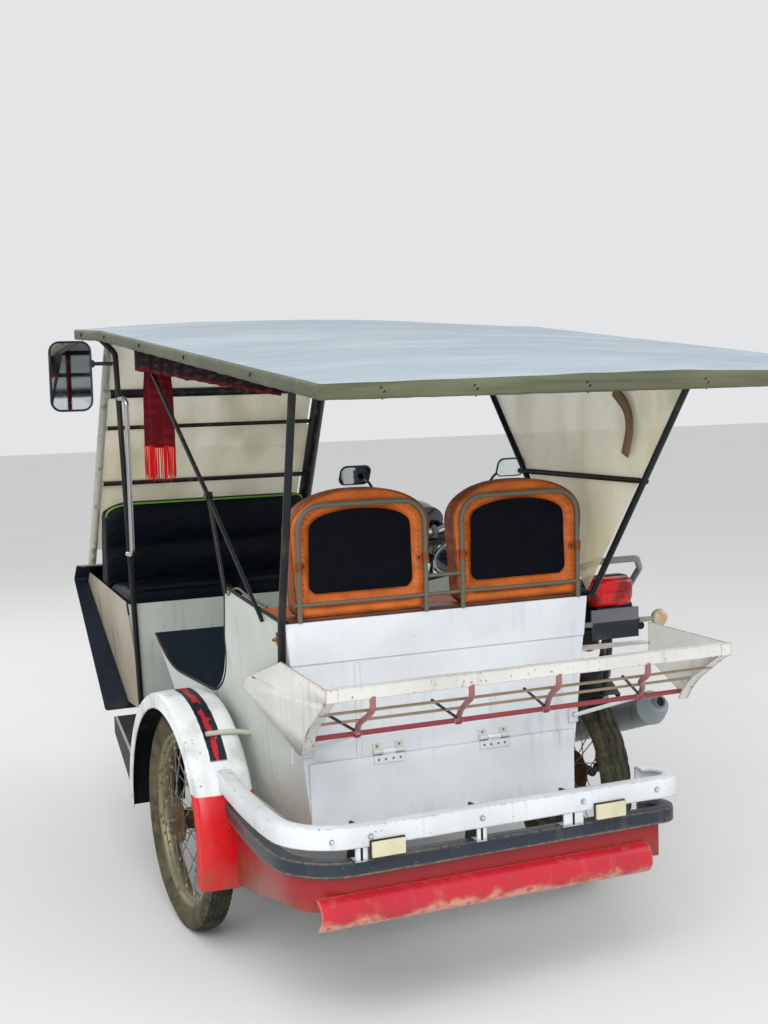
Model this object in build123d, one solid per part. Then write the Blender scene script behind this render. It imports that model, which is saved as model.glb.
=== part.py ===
"""Motor trike: a commuter motorcycle with a passenger sidecar on its left and one canopy over both.

Millimetres. X points right, Y forward, Z up, and the ground is Z = 0.
The layout is drawn from the sidecar axle: X = 0 in the plane of the side wheel, Y = 0 at its
axle. Every piece is then moved by one step, so that the whole vehicle is centred on X and Y.
"""
import math
import os

from build123d import *

os.makedirs("parts", exist_ok=True)

# Clearances
SEAT_GAP = 0.3
BORE_GAP = 0.08
SHEET = 3

# Wheels: 17 inch wire wheels
TYRE_RADIUS = 290
RIM_RADIUS = 227
RIM_BED = 211
RIM_WIDTH = 44
HUB_RADIUS = 48
HUB_WIDTH = 84
SPOKES = 36
SPOKE_SIZE = 3.2
AXLE_RADIUS = 8
SIDE_TYRE_WIDTH = 74
REAR_TYRE_WIDTH = 84
FRONT_TYRE_WIDTH = 70
AXLE_Z = TYRE_RADIUS

# Tub width: the left edge keeps its distance from the side wheel, and the motorcycle stands beside
# the right edge
TUB_LEFT = 60
TUB_HALF_TOP = 400
TUB_MID = TUB_LEFT + TUB_HALF_TOP
TUB_RIGHT = TUB_MID + TUB_HALF_TOP
BIKE_DISTANCE = 240

# Motorcycle
BIKE_X = TUB_RIGHT + BIKE_DISTANCE
REAR_AXLE_Y = -100
WHEELBASE = 1260
FRONT_AXLE_Y = REAR_AXLE_Y + WHEELBASE
RAKE = 26.5
TRAIL = 85

# Tub: the sides lean in towards the floor and close in a little towards the front
REAR_Y = -600
TUB_TOP_Z = 880
FLOOR_Z = 380
SIDE_LEAN = 0.11
SIDE_TAPER = 0.012
BOARD_HEIGHT = 98
BOARD_RISE = 4

# Side entry: the highest point of the edge, the low scoop and the tip of the toe board
PEAK = (-173, 919)
SCOOP_Z = 612
SCOOP_REAR_Y = 100
SCOOP_FRONT_Y = 400
TOE_TOP = (610, 690)
TOE_FOOT = (330, FLOOR_Z)

# Front bench and nose
POST_Y = 915
BENCH_Y = 930
BENCH_TOP_Z = 735
BENCH_DEPTH = 266
CUSHION_THICK = 56
BENCH_BACK_TOP_Z = 1044
NOSE_Y = 1500
NOSE_TOP_Z = 800
NOSE_FOOT_Y = 1110
NOSE_FOOT_DROP = 14
NOSE_OVERHANG = 8

# Hatch in the rear panel
HATCH_TOP_Z = 556
HATCH_FOOT_Z = 396
HATCH_MARGIN = 48
HATCH_HALF = TUB_HALF_TOP - HATCH_MARGIN
HATCH_OUT = 6
HATCH_LAP = 30
HINGE_HALF = 40
KNUCKLE_HALF = 18
KNUCKLE_RADIUS = 5
HINGE_OFFSETS = (-152, 128)

# Rear seats
SEAT_LEFT_GAP = 29
SEAT_RIGHT_GAP = 18
SEAT_MIDDLE_GAP = 81
SEAT_HALF = (2 * TUB_HALF_TOP - SEAT_LEFT_GAP - SEAT_RIGHT_GAP - SEAT_MIDDLE_GAP) / 4
SEAT_OFFSETS = (SEAT_LEFT_GAP + SEAT_HALF - TUB_HALF_TOP, TUB_HALF_TOP - SEAT_RIGHT_GAP - SEAT_HALF)
SEAT_SHOULDER_HALF = SEAT_HALF + 12
SEAT_CROWN_HALF = SEAT_HALF - 82
SEAT_BACK_HEIGHT = 292
SEAT_BACK_THICK = 52
CUSHION_TOP_Z = 872
SEAT_BOX_TOP_Z = 800
SEAT_DEPTH = 390
HOOP_HALF = SEAT_HALF - 8
HOOP_RADIUS = 6
HOOP_TOP_Z = 1150
LEDGE_RISE = 12

# Windshield plane, as Y at a height
SHIELD_TOP = (1010, 1580)
SHIELD_FOOT = (1350, 850)
SHIELD_LEFT = TUB_LEFT + 30
SHIELD_RIGHT = TUB_RIGHT - 10
PILLAR_RADIUS = 13
WIDE_PILLAR_RADIUS = 23

# Canopy: heights of its side edge along the vehicle
ROOF_LEFT = TUB_LEFT - 75
ROOF_RIGHT = BIKE_X + 375
ROOF_REAR = -1035
ROOF_FRONT = 1035
ROOF_REAR_Z = 1424
ROOF_FRONT_Z = 1618
ROOF_BEND_Y = 700
ROOF_BEND_Z = 1601
ROOF_CROWN = 28
ROOF_SKIN = 6
HEM_DROP = 24
TUBE = 10
CROSS_TUBE = 8.5
SIDE_TUBE_INSET = 40

# Chassis under the tub
RAIL_RADIUS = 16
RAIL_DROP = 26
RAIL_HALF = TUB_HALF_TOP - 150
RAIL_Z = FLOOR_Z - RAIL_DROP
CHASSIS_END_Y = -815

# Bumper rails behind the tub
BUMPER_LEFT = TUB_LEFT - 106
BUMPER_RIGHT = TUB_RIGHT + 85
BUMPER_REAR = -892
CORNER_RADIUS = 150
CURL_RADIUS = 62
BUMPER_START_X = -12
UPPER_RAIL_Z = (443, 487)
LOWER_RAIL_Z = (377, 411)
LOWER_INSET = 8
FLANGE_WIDTH = 32
VALANCE_INSET = 27.5
VALANCE_FOOT_Z = 300
VALANCE_SIDE_FOOT_Z = 205
STEP_RADIUS = 36
STEP_Z = 300

# Fender over the side wheel
FENDER_GAP = 51
FENDER_OUTER = TYRE_RADIUS + FENDER_GAP + SHEET
FENDER_SIDE_X = -71
FENDER_INNER_X = 79
FENDER_SKIRT = 44

# Luggage rack
RACK_LEFT = TUB_LEFT - 13
RACK_RIGHT = TUB_RIGHT + 232
RACK_FRONT_RIGHT = RACK_RIGHT - 40
RIM_Y = -868
RIM_Z = 782
RIM_FACE = 28
LOW_Y = -706
LOW_Z = 640

# Motorcycle frame
PIVOT_Y = 236
PIVOT_Z = AXLE_Z + 10
CRADLE_Z = AXLE_Z - 50
SEAT_RAIL_Z = AXLE_Z + 450
FRAME_RADIUS = 16
SEAT_RAIL_RADIUS = 11
SEAT_RAIL_HALF = 104
SWING_HALF = 62
SWING_RADIUS = 13
SHOCK_HALF = 92
SHOCK_RADIUS = 18
BIKE_SEAT_HALF = 112
LAMP_HALF = 73
LAMP_Z = (AXLE_Z + 510, AXLE_Z + 597)
LAMP_REAR_Y = -366
GUARD_GAP = 24

# Steering
LEG_HALF = 84
LEG_RADIUS = 17
LOW_YOKE_RISE = 492
TOP_YOKE_RISE = 692
YOKE_THICK = 22
BAR_HALF = 335
BAR_RADIUS = 11

# Side mirror, and where the middle of the vehicle lies in the layout
MIRROR_LEFT = TUB_LEFT - 182
MIRROR_RIGHT = TUB_LEFT - 48
MIDDLE_X = math.ceil((MIRROR_LEFT + ROOF_RIGHT) / 2)
MIDDLE_Y = 228


def x_left(y, z):
    """Outer face of the tub's left side at a place along the tub and a height."""
    return TUB_LEFT + (y - REAR_Y) * SIDE_TAPER + (TUB_TOP_Z - z) * SIDE_LEAN


def x_right(y, z):
    """Outer face of the tub's right side."""
    return 2 * TUB_MID - x_left(y, z)


def left(y, z):
    return (x_left(y, z), y, z)


def right(y, z):
    return (x_right(y, z), y, z)


def inside(y, z, gap=SEAT_GAP):
    """Left and right X between the side panels, clear of them by a gap."""
    return x_left(y, z) + SHEET + gap, x_right(y, z) - SHEET - gap


def bar(points, radius, bend=0):
    """Round bar or tube through points, with bent corners where a bend radius is given."""
    if bend and len(points) > 2:
        path = FilletPolyline(*points, radius=bend)
    else:
        path = Polyline(*points)
    section = Plane(origin=path @ 0, z_dir=path % 0) * Circle(radius)
    return sweep(section, path, transition=Transition.RIGHT)


def rod(start, end, radius):
    path = Line(start, end)
    return sweep(Plane(origin=path @ 0, z_dir=path % 0) * Circle(radius), path)


def block(x0, x1, y0, y1, z0, z1):
    return Pos((x0 + x1) / 2, (y0 + y1) / 2, (z0 + z1) / 2) * Box(x1 - x0, y1 - y0, z1 - z0)


def sheet(points, thickness, direction):
    """Flat sheet: a closed outline of corner points pushed out one way."""
    return extrude(make_face(Polyline(*points, close=True)), amount=thickness, dir=direction)


def across(profile, x0, x1):
    """Profile of (y, z) corners pushed along X."""
    points = [(x0, y, z) for y, z in profile]
    return extrude(make_face(Polyline(*points, close=True)), amount=x1 - x0, dir=(1, 0, 0))


def between_sides(line, direction, thickness=SHEET):
    """Flat sheet between the two side panels, from a row of two (y, z) places."""
    (y0, z0), (y1, z1) = line
    gap = SEAT_GAP + thickness * SIDE_LEAN
    left0, right0 = inside(y0, z0, gap)
    left1, right1 = inside(y1, z1, gap)
    return sheet([(left0, y0, z0), (left1, y1, z1), (right1, y1, z1), (right0, y0, z0)],
                 thickness, direction)


def joined(shapes):
    """All shapes of a list as one."""
    whole = shapes[0]
    for shape in shapes[1:]:
        whole = whole + shape
    return whole


def hoop_section(radius, crown_x0, crown_x1, skirt, thickness):
    """Mudguard section in the plane of X and radius: a crowned top with a skirt on each side."""
    mid = (crown_x0 + crown_x1) / 2
    sides = [
        (crown_x0, radius - skirt[0]),
        (crown_x0, radius - 6),
        (mid, radius),
        (crown_x1, radius - 6),
        (crown_x1, radius - skirt[1]),
    ]
    inner = [
        (crown_x1 - thickness, radius - skirt[1]),
        (crown_x1 - thickness, radius - 6 - thickness),
        (mid, radius - thickness),
        (crown_x0 + thickness, radius - 6 - thickness),
        (crown_x0 + thickness, radius - skirt[0]),
    ]
    outline = [
        Line(sides[0], sides[1]),
        ThreePointArc(sides[1], sides[2], sides[3]),
        Line(sides[3], sides[4]),
        Line(sides[4], inner[0]),
        Line(inner[0], inner[1]),
        ThreePointArc(inner[1], inner[2], inner[3]),
        Line(inner[3], inner[4]),
        Line(inner[4], sides[0]),
    ]
    return make_face(outline)


def mudguard(radius, x0, x1, skirt, thickness, start, end):
    """Mudguard round an axle along X at the origin, from a start to an end angle above +Y."""
    ring = revolve(hoop_section(radius, x0, x1, skirt, thickness), Axis.X, revolution_arc=end - start)
    return Rot(start, 0, 0) * ring


pieces = {}


def keep(name, shape):
    pieces[name] = shape


# Wheels, each drawn with its axle along X at the origin
def wheel(tyre_width, hub_width=HUB_WIDTH, hub_radius=HUB_RADIUS):
    """Wire wheel and tyre: returns the metal wheel and the tyre."""
    half = tyre_width / 2
    tyre_outline = [
        (-RIM_WIDTH * 0.3 + SEAT_GAP, RIM_BED + SEAT_GAP),
        (-RIM_WIDTH / 2 + 4, RIM_RADIUS + SEAT_GAP),
        (-half, TYRE_RADIUS - half * 0.95),
        (-half * 0.86, TYRE_RADIUS - half * 0.42),
        (-half * 0.42, TYRE_RADIUS - half * 0.06),
        (0, TYRE_RADIUS),
        (half * 0.42, TYRE_RADIUS - half * 0.06),
        (half * 0.86, TYRE_RADIUS - half * 0.42),
        (half, TYRE_RADIUS - half * 0.95),
        (RIM_WIDTH / 2 - 4, RIM_RADIUS + SEAT_GAP),
        (RIM_WIDTH * 0.3 - SEAT_GAP, RIM_BED + SEAT_GAP),
    ]
    tyre = revolve(Plane.XY * make_face(Polyline(*tyre_outline, close=True)), Axis.X)
    lip = RIM_WIDTH / 2
    rim_outline = [
        (-lip, RIM_RADIUS),
        (-lip, RIM_RADIUS - 9),
        (-lip * 0.6, RIM_BED - 8),
        (lip * 0.6, RIM_BED - 8),
        (lip, RIM_RADIUS - 9),
        (lip, RIM_RADIUS),
        (lip - 3, RIM_RADIUS),
        (lip * 0.6, RIM_BED),
        (-lip * 0.6, RIM_BED),
        (-lip + 3, RIM_RADIUS),
    ]
    rim = revolve(Plane.XY * make_face(Polyline(*rim_outline, close=True)), Axis.X)
    flange = hub_width / 2
    hub_outline = [
        (-flange, AXLE_RADIUS + BORE_GAP),
        (-flange, hub_radius),
        (-flange + 8, hub_radius + 6),
        (-flange + 14, hub_radius - 12),
        (flange - 14, hub_radius - 12),
        (flange - 8, hub_radius + 6),
        (flange, hub_radius),
        (flange, AXLE_RADIUS + BORE_GAP),
    ]
    hub = revolve(Plane.XY * make_face(Polyline(*hub_outline, close=True)), Axis.X)
    spokes = []
    for number in range(SPOKES):
        side = 1 if number % 2 else -1
        lean = 1 if number % 4 < 2 else -1
        foot_angle = math.radians(number * 360 / SPOKES - lean * 26)
        rim_angle = math.radians(number * 360 / SPOKES)
        foot = Vector(
            side * (flange - 11),
            (hub_radius - 6) * math.cos(foot_angle),
            (hub_radius - 6) * math.sin(foot_angle),
        )
        tip = Vector(side * 4, (RIM_BED - 6) * math.cos(rim_angle), (RIM_BED - 6) * math.sin(rim_angle))
        span = tip - foot
        place = Plane(origin=foot, z_dir=span)
        spokes.append(place * Box(SPOKE_SIZE, SPOKE_SIZE, span.length,
                                  align=(Align.CENTER, Align.CENTER, Align.MIN)))
    return rim + hub + spokes, tyre


for name, x, y, width in (
    ("side", 0, 0, SIDE_TYRE_WIDTH),
    ("rear", BIKE_X, REAR_AXLE_Y, REAR_TYRE_WIDTH),
    ("front", BIKE_X, FRONT_AXLE_Y, FRONT_TYRE_WIDTH),
):
    metal, tyre = wheel(width)
    keep(name + "_wheel", Pos(x, y, AXLE_Z) * metal)
    keep(name + "_tyre", Pos(x, y, AXLE_Z) * tyre)


# Nose line, from the floor's front edge up to the leading corner
NOSE_LINE_TOP_Z = NOSE_TOP_Z - 40


def nose_y(z):
    """Y of the nose sheet's middle at a height."""
    foot_z = FLOOR_Z - NOSE_FOOT_DROP
    share = (z - foot_z) / (NOSE_LINE_TOP_Z - foot_z)
    return NOSE_FOOT_Y + (NOSE_Y - 14 - NOSE_FOOT_Y) * share


# Tub panels
left_outline = [
    Line(left(REAR_Y + SHEET, FLOOR_Z), left(REAR_Y + SHEET, TUB_TOP_Z)),
    Line(left(REAR_Y + SHEET, TUB_TOP_Z), left(*PEAK)),
    Line(left(*PEAK), left(SCOOP_REAR_Y - 210, PEAK[1] - 144)),
    ThreePointArc(left(SCOOP_REAR_Y - 210, PEAK[1] - 144), left(SCOOP_REAR_Y - 140, SCOOP_Z + 52),
                  left(SCOOP_REAR_Y, SCOOP_Z)),
    Line(left(SCOOP_REAR_Y, SCOOP_Z), left(SCOOP_FRONT_Y, SCOOP_Z - 6)),
    ThreePointArc(left(SCOOP_FRONT_Y, SCOOP_Z - 6), left(SCOOP_FRONT_Y + 120, SCOOP_Z + 20), left(*TOE_TOP)),
    Line(left(*TOE_TOP), left(*TOE_FOOT)),
    Line(left(*TOE_FOOT), left(REAR_Y + SHEET, FLOOR_Z)),
]
keep("left_panel", extrude(make_face(left_outline), amount=SHEET, dir=(1, 0, 0)))

NOSE_CORNER_Z = NOSE_TOP_Z - 12
nose_seat = SHEET + SEAT_GAP
right_profile = [
    (REAR_Y + SHEET, FLOOR_Z),
    (REAR_Y + SHEET, TUB_TOP_Z),
    PEAK,
    (120, TUB_TOP_Z - 20),
    (560, BENCH_TOP_Z + 25),
    (nose_y(NOSE_LINE_TOP_Z) - 60, NOSE_CORNER_Z),
    (nose_y(NOSE_LINE_TOP_Z - 8) - nose_seat, NOSE_LINE_TOP_Z - 8),
    (nose_y(FLOOR_Z) - nose_seat, FLOOR_Z),
]
keep("right_panel", sheet([right(y, z) for y, z in right_profile], SHEET, (-1, 0, 0)))

front_profile = [
    (POST_Y + 14, FLOOR_Z),
    (POST_Y + 14, BENCH_TOP_Z + 5),
    (nose_y(NOSE_LINE_TOP_Z) - 60, NOSE_CORNER_Z),
    (nose_y(NOSE_LINE_TOP_Z - 8) - nose_seat, NOSE_LINE_TOP_Z - 8),
    (nose_y(FLOOR_Z) - nose_seat, FLOOR_Z),
]
keep("front_left_panel", sheet([left(y, z) for y, z in front_profile], SHEET, (1, 0, 0)))

rear_foot_z = RAIL_Z + RAIL_RADIUS + SEAT_GAP
rear_panel = sheet([
    left(REAR_Y, rear_foot_z),
    left(REAR_Y, TUB_TOP_Z),
    right(REAR_Y, TUB_TOP_Z),
    right(REAR_Y, rear_foot_z),
], SHEET, (0, 1, 0))
rear_panel -= block(TUB_MID - HATCH_HALF + HATCH_LAP, TUB_MID + HATCH_HALF - HATCH_LAP,
                    REAR_Y - 10, REAR_Y + 10, HATCH_FOOT_Z + HATCH_LAP, HATCH_TOP_Z - HATCH_LAP)
board_foot_z = TUB_TOP_Z + BOARD_RISE - BOARD_HEIGHT
rear_panel += sheet([
    (x_left(REAR_Y, board_foot_z), REAR_Y, board_foot_z),
    (TUB_LEFT, REAR_Y, TUB_TOP_Z + BOARD_RISE),
    (TUB_RIGHT, REAR_Y, TUB_TOP_Z + BOARD_RISE),
    (x_right(REAR_Y, board_foot_z), REAR_Y, board_foot_z),
], SHEET, (0, -1, 0))
keep("rear_panel", rear_panel)

floor = between_sides([(REAR_Y + SHEET + SEAT_GAP, FLOOR_Z), (nose_y(FLOOR_Z) - nose_seat, FLOOR_Z)], (0, 0, 1))
toe_board = between_sides([TOE_FOOT, TOE_TOP], (0, -1, 0))
keep("tub_floor", floor + toe_board)

nose_x0 = TUB_LEFT - NOSE_OVERHANG
nose_x1 = TUB_RIGHT + NOSE_OVERHANG
nose_line = FilletPolyline(
    (nose_y(FLOOR_Z - NOSE_FOOT_DROP) - 26, FLOOR_Z - NOSE_FOOT_DROP),
    (nose_y(FLOOR_Z - NOSE_FOOT_DROP), FLOOR_Z - NOSE_FOOT_DROP),
    (nose_y(NOSE_LINE_TOP_Z), NOSE_LINE_TOP_Z),
    (NOSE_Y - 60, NOSE_TOP_Z + 12),
    (SHIELD_FOOT[0] - 20, NOSE_TOP_Z + 20),
    radius=10,
)
keep("nose_panel", Pos(nose_x0, 0, 0) * extrude(Plane.YZ * trace(nose_line, SHEET), amount=nose_x1 - nose_x0))

# Hatch, hung on two butt hinges
hatch_y = REAR_Y - HATCH_OUT
hinge_y = hatch_y - SHEET / 2 - 0.5
hinge_z = HATCH_TOP_Z + 8
hatch = block(TUB_MID - HATCH_HALF, TUB_MID + HATCH_HALF, hatch_y - SHEET, hatch_y, HATCH_FOOT_Z, HATCH_TOP_Z)
hinge_leaves = []
for offset in HINGE_OFFSETS:
    mid = TUB_MID + offset
    hatch += rod((mid - KNUCKLE_HALF, hinge_y, hinge_z), (mid + KNUCKLE_HALF, hinge_y, hinge_z),
                 KNUCKLE_RADIUS)
    hatch += block(mid - KNUCKLE_HALF, mid + KNUCKLE_HALF, hatch_y - SHEET, hatch_y,
                   HATCH_TOP_Z - 1, hinge_z)
    hatch += block(mid - HINGE_HALF, mid + HINGE_HALF, hatch_y - SHEET - 2, hatch_y - SHEET,
                   HATCH_TOP_Z - 20, HATCH_TOP_Z)
    for end in (-1, 1):
        x0, x1 = sorted((mid + end * (KNUCKLE_HALF + 0.5), mid + end * HINGE_HALF))
        ear = rod((x0, hinge_y, hinge_z), (x1, hinge_y, hinge_z), KNUCKLE_RADIUS)
        ear += block(x0, x1, hinge_y, REAR_Y - SEAT_GAP, hinge_z, hinge_z + KNUCKLE_RADIUS)
        ear += block(x0, x1, REAR_Y - 2 - SEAT_GAP, REAR_Y - SEAT_GAP, hinge_z, hinge_z + 18)
        hinge_leaves.append(ear)
keep("luggage_hatch", hatch)
keep("hatch_hinges", joined(hinge_leaves))

# Bench at the front of the tub, facing backwards
bench_back_y = BENCH_Y + BENCH_DEPTH
keep("bench_box", between_sides([(BENCH_Y, FLOOR_Z + SHEET + SEAT_GAP), (BENCH_Y, BENCH_TOP_Z)], (0, 1, 0))
     + between_sides([(BENCH_Y, BENCH_TOP_Z), (bench_back_y + 90, BENCH_TOP_Z)], (0, 0, -1)))
bench_left, bench_right = inside(BENCH_Y, BENCH_TOP_Z, 12)
cushion = block(bench_left, bench_right, BENCH_Y - 2, bench_back_y,
                BENCH_TOP_Z + SEAT_GAP, BENCH_TOP_Z + CUSHION_THICK)
keep("bench_cushion", fillet(cushion.edges().filter_by(Axis.X).group_by(Axis.Z)[-1], 16))
keep("bench_back", across([
    (bench_back_y + 9, BENCH_TOP_Z + SEAT_GAP),
    (bench_back_y + 1, BENCH_BACK_TOP_Z - 12),
    (bench_back_y + 14, BENCH_BACK_TOP_Z),
    (bench_back_y + 40, BENCH_BACK_TOP_Z),
    (bench_back_y + 78, BENCH_TOP_Z + SEAT_GAP),
], bench_left, bench_right))

# Rear seats on their box, facing forwards
seat_front_y = REAR_Y + 54 + SEAT_DEPTH
keep("seat_box", between_sides([(seat_front_y - 12, FLOOR_Z + SHEET + SEAT_GAP),
                                (seat_front_y - 12, SEAT_BOX_TOP_Z - SEAT_GAP)], (0, -1, 0))
     + between_sides([(REAR_Y + SHEET + SEAT_GAP, SEAT_BOX_TOP_Z - SEAT_GAP),
                      (seat_front_y - 12, SEAT_BOX_TOP_Z - SEAT_GAP)], (0, 0, -1)))
ledge_top_z = TUB_TOP_Z + LEDGE_RISE
back_foot_z = ledge_top_z + SEAT_GAP
shoulder_z = back_foot_z + SEAT_BACK_HEIGHT - 84
for name, offset in zip(("left_seat", "right_seat"), SEAT_OFFSETS):
    mid = TUB_MID + offset
    cushion = block(mid - SEAT_HALF, mid + SEAT_HALF, REAR_Y + 64, seat_front_y, SEAT_BOX_TOP_Z, CUSHION_TOP_Z)
    cushion = fillet(cushion.edges().filter_by(Axis.X).group_by(Axis.Z)[-1].sort_by(Axis.Y)[-1], 24)
    outline = [
        (mid - SEAT_HALF, back_foot_z),
        (mid - SEAT_SHOULDER_HALF, shoulder_z),
        (mid - SEAT_CROWN_HALF - 52, back_foot_z + SEAT_BACK_HEIGHT - 20),
        (mid - SEAT_CROWN_HALF, back_foot_z + SEAT_BACK_HEIGHT),
        (mid + SEAT_CROWN_HALF, back_foot_z + SEAT_BACK_HEIGHT),
        (mid + SEAT_CROWN_HALF + 52, back_foot_z + SEAT_BACK_HEIGHT - 20),
        (mid + SEAT_SHOULDER_HALF, shoulder_z),
        (mid + SEAT_HALF, back_foot_z),
    ]
    back = sheet([(x, REAR_Y + 4, z) for x, z in outline], SEAT_BACK_THICK, (0, 1, 0))
    tie = block(mid - SEAT_HALF + 48, mid + SEAT_HALF - 48, REAR_Y + 62, REAR_Y + 66,
                CUSHION_TOP_Z - 30, back_foot_z + 40)
    tie += block(mid - SEAT_HALF + 48, mid + SEAT_HALF - 48, REAR_Y + 4 + SEAT_BACK_THICK - 1, REAR_Y + 66,
                 back_foot_z + 4, back_foot_z + 40)
    keep(name, cushion + back + tie)
keep("seat_ledge", block(TUB_LEFT + 12, TUB_RIGHT - 12, REAR_Y + SHEET + SEAT_GAP, REAR_Y + 60,
                         TUB_TOP_Z - 12, ledge_top_z))

hoop_y = REAR_Y - SHEET
hoop_foot_z = TUB_TOP_Z + BOARD_RISE + SEAT_GAP
hoops = []
for offset in SEAT_OFFSETS:
    mid = TUB_MID + offset
    hoops.append(bar([
        (mid - HOOP_HALF, hoop_y, hoop_foot_z),
        (mid - HOOP_HALF, hoop_y, HOOP_TOP_Z),
        (mid + HOOP_HALF, hoop_y, HOOP_TOP_Z),
        (mid + HOOP_HALF, hoop_y, hoop_foot_z),
    ], HOOP_RADIUS, 58))
low_rail_z = TUB_TOP_Z + 44
hoops.append(rod((TUB_MID + SEAT_OFFSETS[0] - HOOP_HALF - 12, hoop_y, low_rail_z),
                 (TUB_MID + SEAT_OFFSETS[1] + HOOP_HALF + 4, hoop_y, low_rail_z), HOOP_RADIUS - 1.5))
hoops.append(rod((TUB_MID + SEAT_OFFSETS[0] + HOOP_HALF, hoop_y, low_rail_z + 44),
                 (TUB_MID + SEAT_OFFSETS[1] - HOOP_HALF, hoop_y, low_rail_z + 44), HOOP_RADIUS - 1.5))
keep("seat_hoops", joined(hoops))


# Bumper rails: one plan line that runs back from the fender, round the corner and along the rear
def fender_y(z, radius=FENDER_OUTER):
    """Distance from the axle to the fender's outer face at a height."""
    return math.sqrt(radius ** 2 - (z - AXLE_Z) ** 2)


def bumper_line(inset, foot_z, curl=True):
    x0 = BUMPER_LEFT + inset
    x1 = BUMPER_RIGHT - inset
    rear = BUMPER_REAR + inset
    corner = CORNER_RADIUS - inset
    start_y = -fender_y(foot_z) - 0.8
    turn_y = rear + corner
    rise = BUMPER_START_X - BUMPER_LEFT
    length = start_y - turn_y
    side_radius = (rise ** 2 + length ** 2) / (2 * rise)
    half_rise = side_radius - math.sqrt(side_radius ** 2 - (length / 2) ** 2)
    bend = math.sqrt(0.5)
    end_radius = CURL_RADIUS - inset
    lines = [
        ThreePointArc((x0 + rise, start_y), (x0 + half_rise, turn_y + length / 2), (x0, turn_y)),
        ThreePointArc((x0, turn_y), (x0 + corner * (1 - bend), rear + corner * (1 - bend)),
                      (x0 + corner, rear)),
    ]
    if curl:
        lines += [
            Line((x0 + corner, rear), (x1 - end_radius, rear)),
            ThreePointArc((x1 - end_radius, rear), (x1, rear + end_radius),
                          (x1 - end_radius, rear + 2 * end_radius)),
        ]
    else:
        lines.append(Line((x0 + corner, rear), (x1 - CURL_RADIUS, rear)))
    return lines


def bumper_band(z0, z1, inset, width, foot_z=None, curl=True):
    """Part of a rail between two heights, of a width across its line."""
    line = bumper_line(inset, foot_z or z0, curl)
    return Pos(0, 0, z0) * extrude(trace(line, width), amount=z1 - z0)


upper_foot, upper_top = UPPER_RAIL_Z
lower_foot, lower_top = LOWER_RAIL_Z
keep("bumper_upper", bumper_band(upper_foot, upper_top, 0, SHEET)
     + bumper_band(upper_top - SHEET, upper_top, FLANGE_WIDTH / 2, FLANGE_WIDTH, upper_foot))
keep("bumper_lower", bumper_band(lower_foot, lower_top, LOWER_INSET, SHEET)
     + bumper_band(lower_top - SHEET, lower_top, LOWER_INSET + FLANGE_WIDTH / 2, FLANGE_WIDTH, lower_foot))
valance = bumper_band(VALANCE_SIDE_FOOT_Z, lower_top - SHEET - SEAT_GAP, VALANCE_INSET, SHEET, AXLE_Z, False)
valance -= across([
    (-TYRE_RADIUS, VALANCE_SIDE_FOOT_Z - 50),
    (-TYRE_RADIUS, VALANCE_SIDE_FOOT_Z - 5),
    (BUMPER_REAR + CORNER_RADIUS, VALANCE_FOOT_Z),
    (BUMPER_REAR - 50, VALANCE_FOOT_Z),
    (BUMPER_REAR - 50, VALANCE_SIDE_FOOT_Z - 50),
], BUMPER_LEFT - 50, BUMPER_RIGHT + 50)
keep("valance", valance)
step_y = BUMPER_REAR + VALANCE_INSET - SHEET / 2 - SEAT_GAP
STEP_LEFT = TUB_LEFT - 48
STEP_RIGHT = TUB_RIGHT - 18
keep("rear_step", Pos((STEP_LEFT + STEP_RIGHT) / 2, step_y, STEP_Z) * Rot(0, 90, 0)
     * (Cylinder(STEP_RADIUS, STEP_RIGHT - STEP_LEFT)
        & Pos(0, -STEP_RADIUS / 2, 0) * Box(4 * STEP_RADIUS, STEP_RADIUS, 2 * STEP_RIGHT)))
REFLECTOR_LENGTH = 84
REFLECTOR_HEIGHT = 40
reflector_y = BUMPER_REAR - SHEET / 2 - SEAT_GAP
keep("reflectors", joined([
    block(x, x + REFLECTOR_LENGTH, reflector_y - 14, reflector_y,
          upper_foot + 12 - REFLECTOR_HEIGHT, upper_foot + 12)
    for x in (TUB_LEFT + 66, TUB_RIGHT - 90 - REFLECTOR_LENGTH)
]))

# Chassis under the tub, with the three links to the motorcycle
chassis = []
for x in (TUB_MID - RAIL_HALF, TUB_MID + RAIL_HALF):
    chassis.append(rod((x, CHASSIS_END_Y, RAIL_Z), (x, NOSE_FOOT_Y - 40, RAIL_Z), RAIL_RADIUS))
for y in (REAR_Y + 60, 0, 700):
    chassis.append(rod((TUB_MID - RAIL_HALF - 50, y, RAIL_Z), (TUB_MID + RAIL_HALF + 50, y, RAIL_Z),
                       RAIL_RADIUS - 1))
chassis.append(rod((STEP_LEFT + 80, CHASSIS_END_Y, RAIL_Z), (STEP_RIGHT - 20, CHASSIS_END_Y, RAIL_Z),
                   RAIL_RADIUS - 2))
BRACKET_XS = (TUB_LEFT + 50, TUB_MID - 60, TUB_RIGHT - 224)
for x in BRACKET_XS:
    chassis.append(across([
        (CHASSIS_END_Y + 8, RAIL_Z - 10),
        (CHASSIS_END_Y + 8, RAIL_Z + 20),
        (BUMPER_REAR + 60, upper_top - SHEET - SEAT_GAP),
        (BUMPER_REAR + SHEET / 2 + SEAT_GAP, upper_top - SHEET - SEAT_GAP),
        (BUMPER_REAR + SHEET / 2 + SEAT_GAP, lower_top + SEAT_GAP),
        (BUMPER_REAR + LOWER_INSET + FLANGE_WIDTH + SEAT_GAP, lower_top + SEAT_GAP),
        (BUMPER_REAR + LOWER_INSET + FLANGE_WIDTH + SEAT_GAP, RAIL_Z - 10),
    ], x - 3, x + 3))
LINK_RADIUS = 11
links = []
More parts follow.
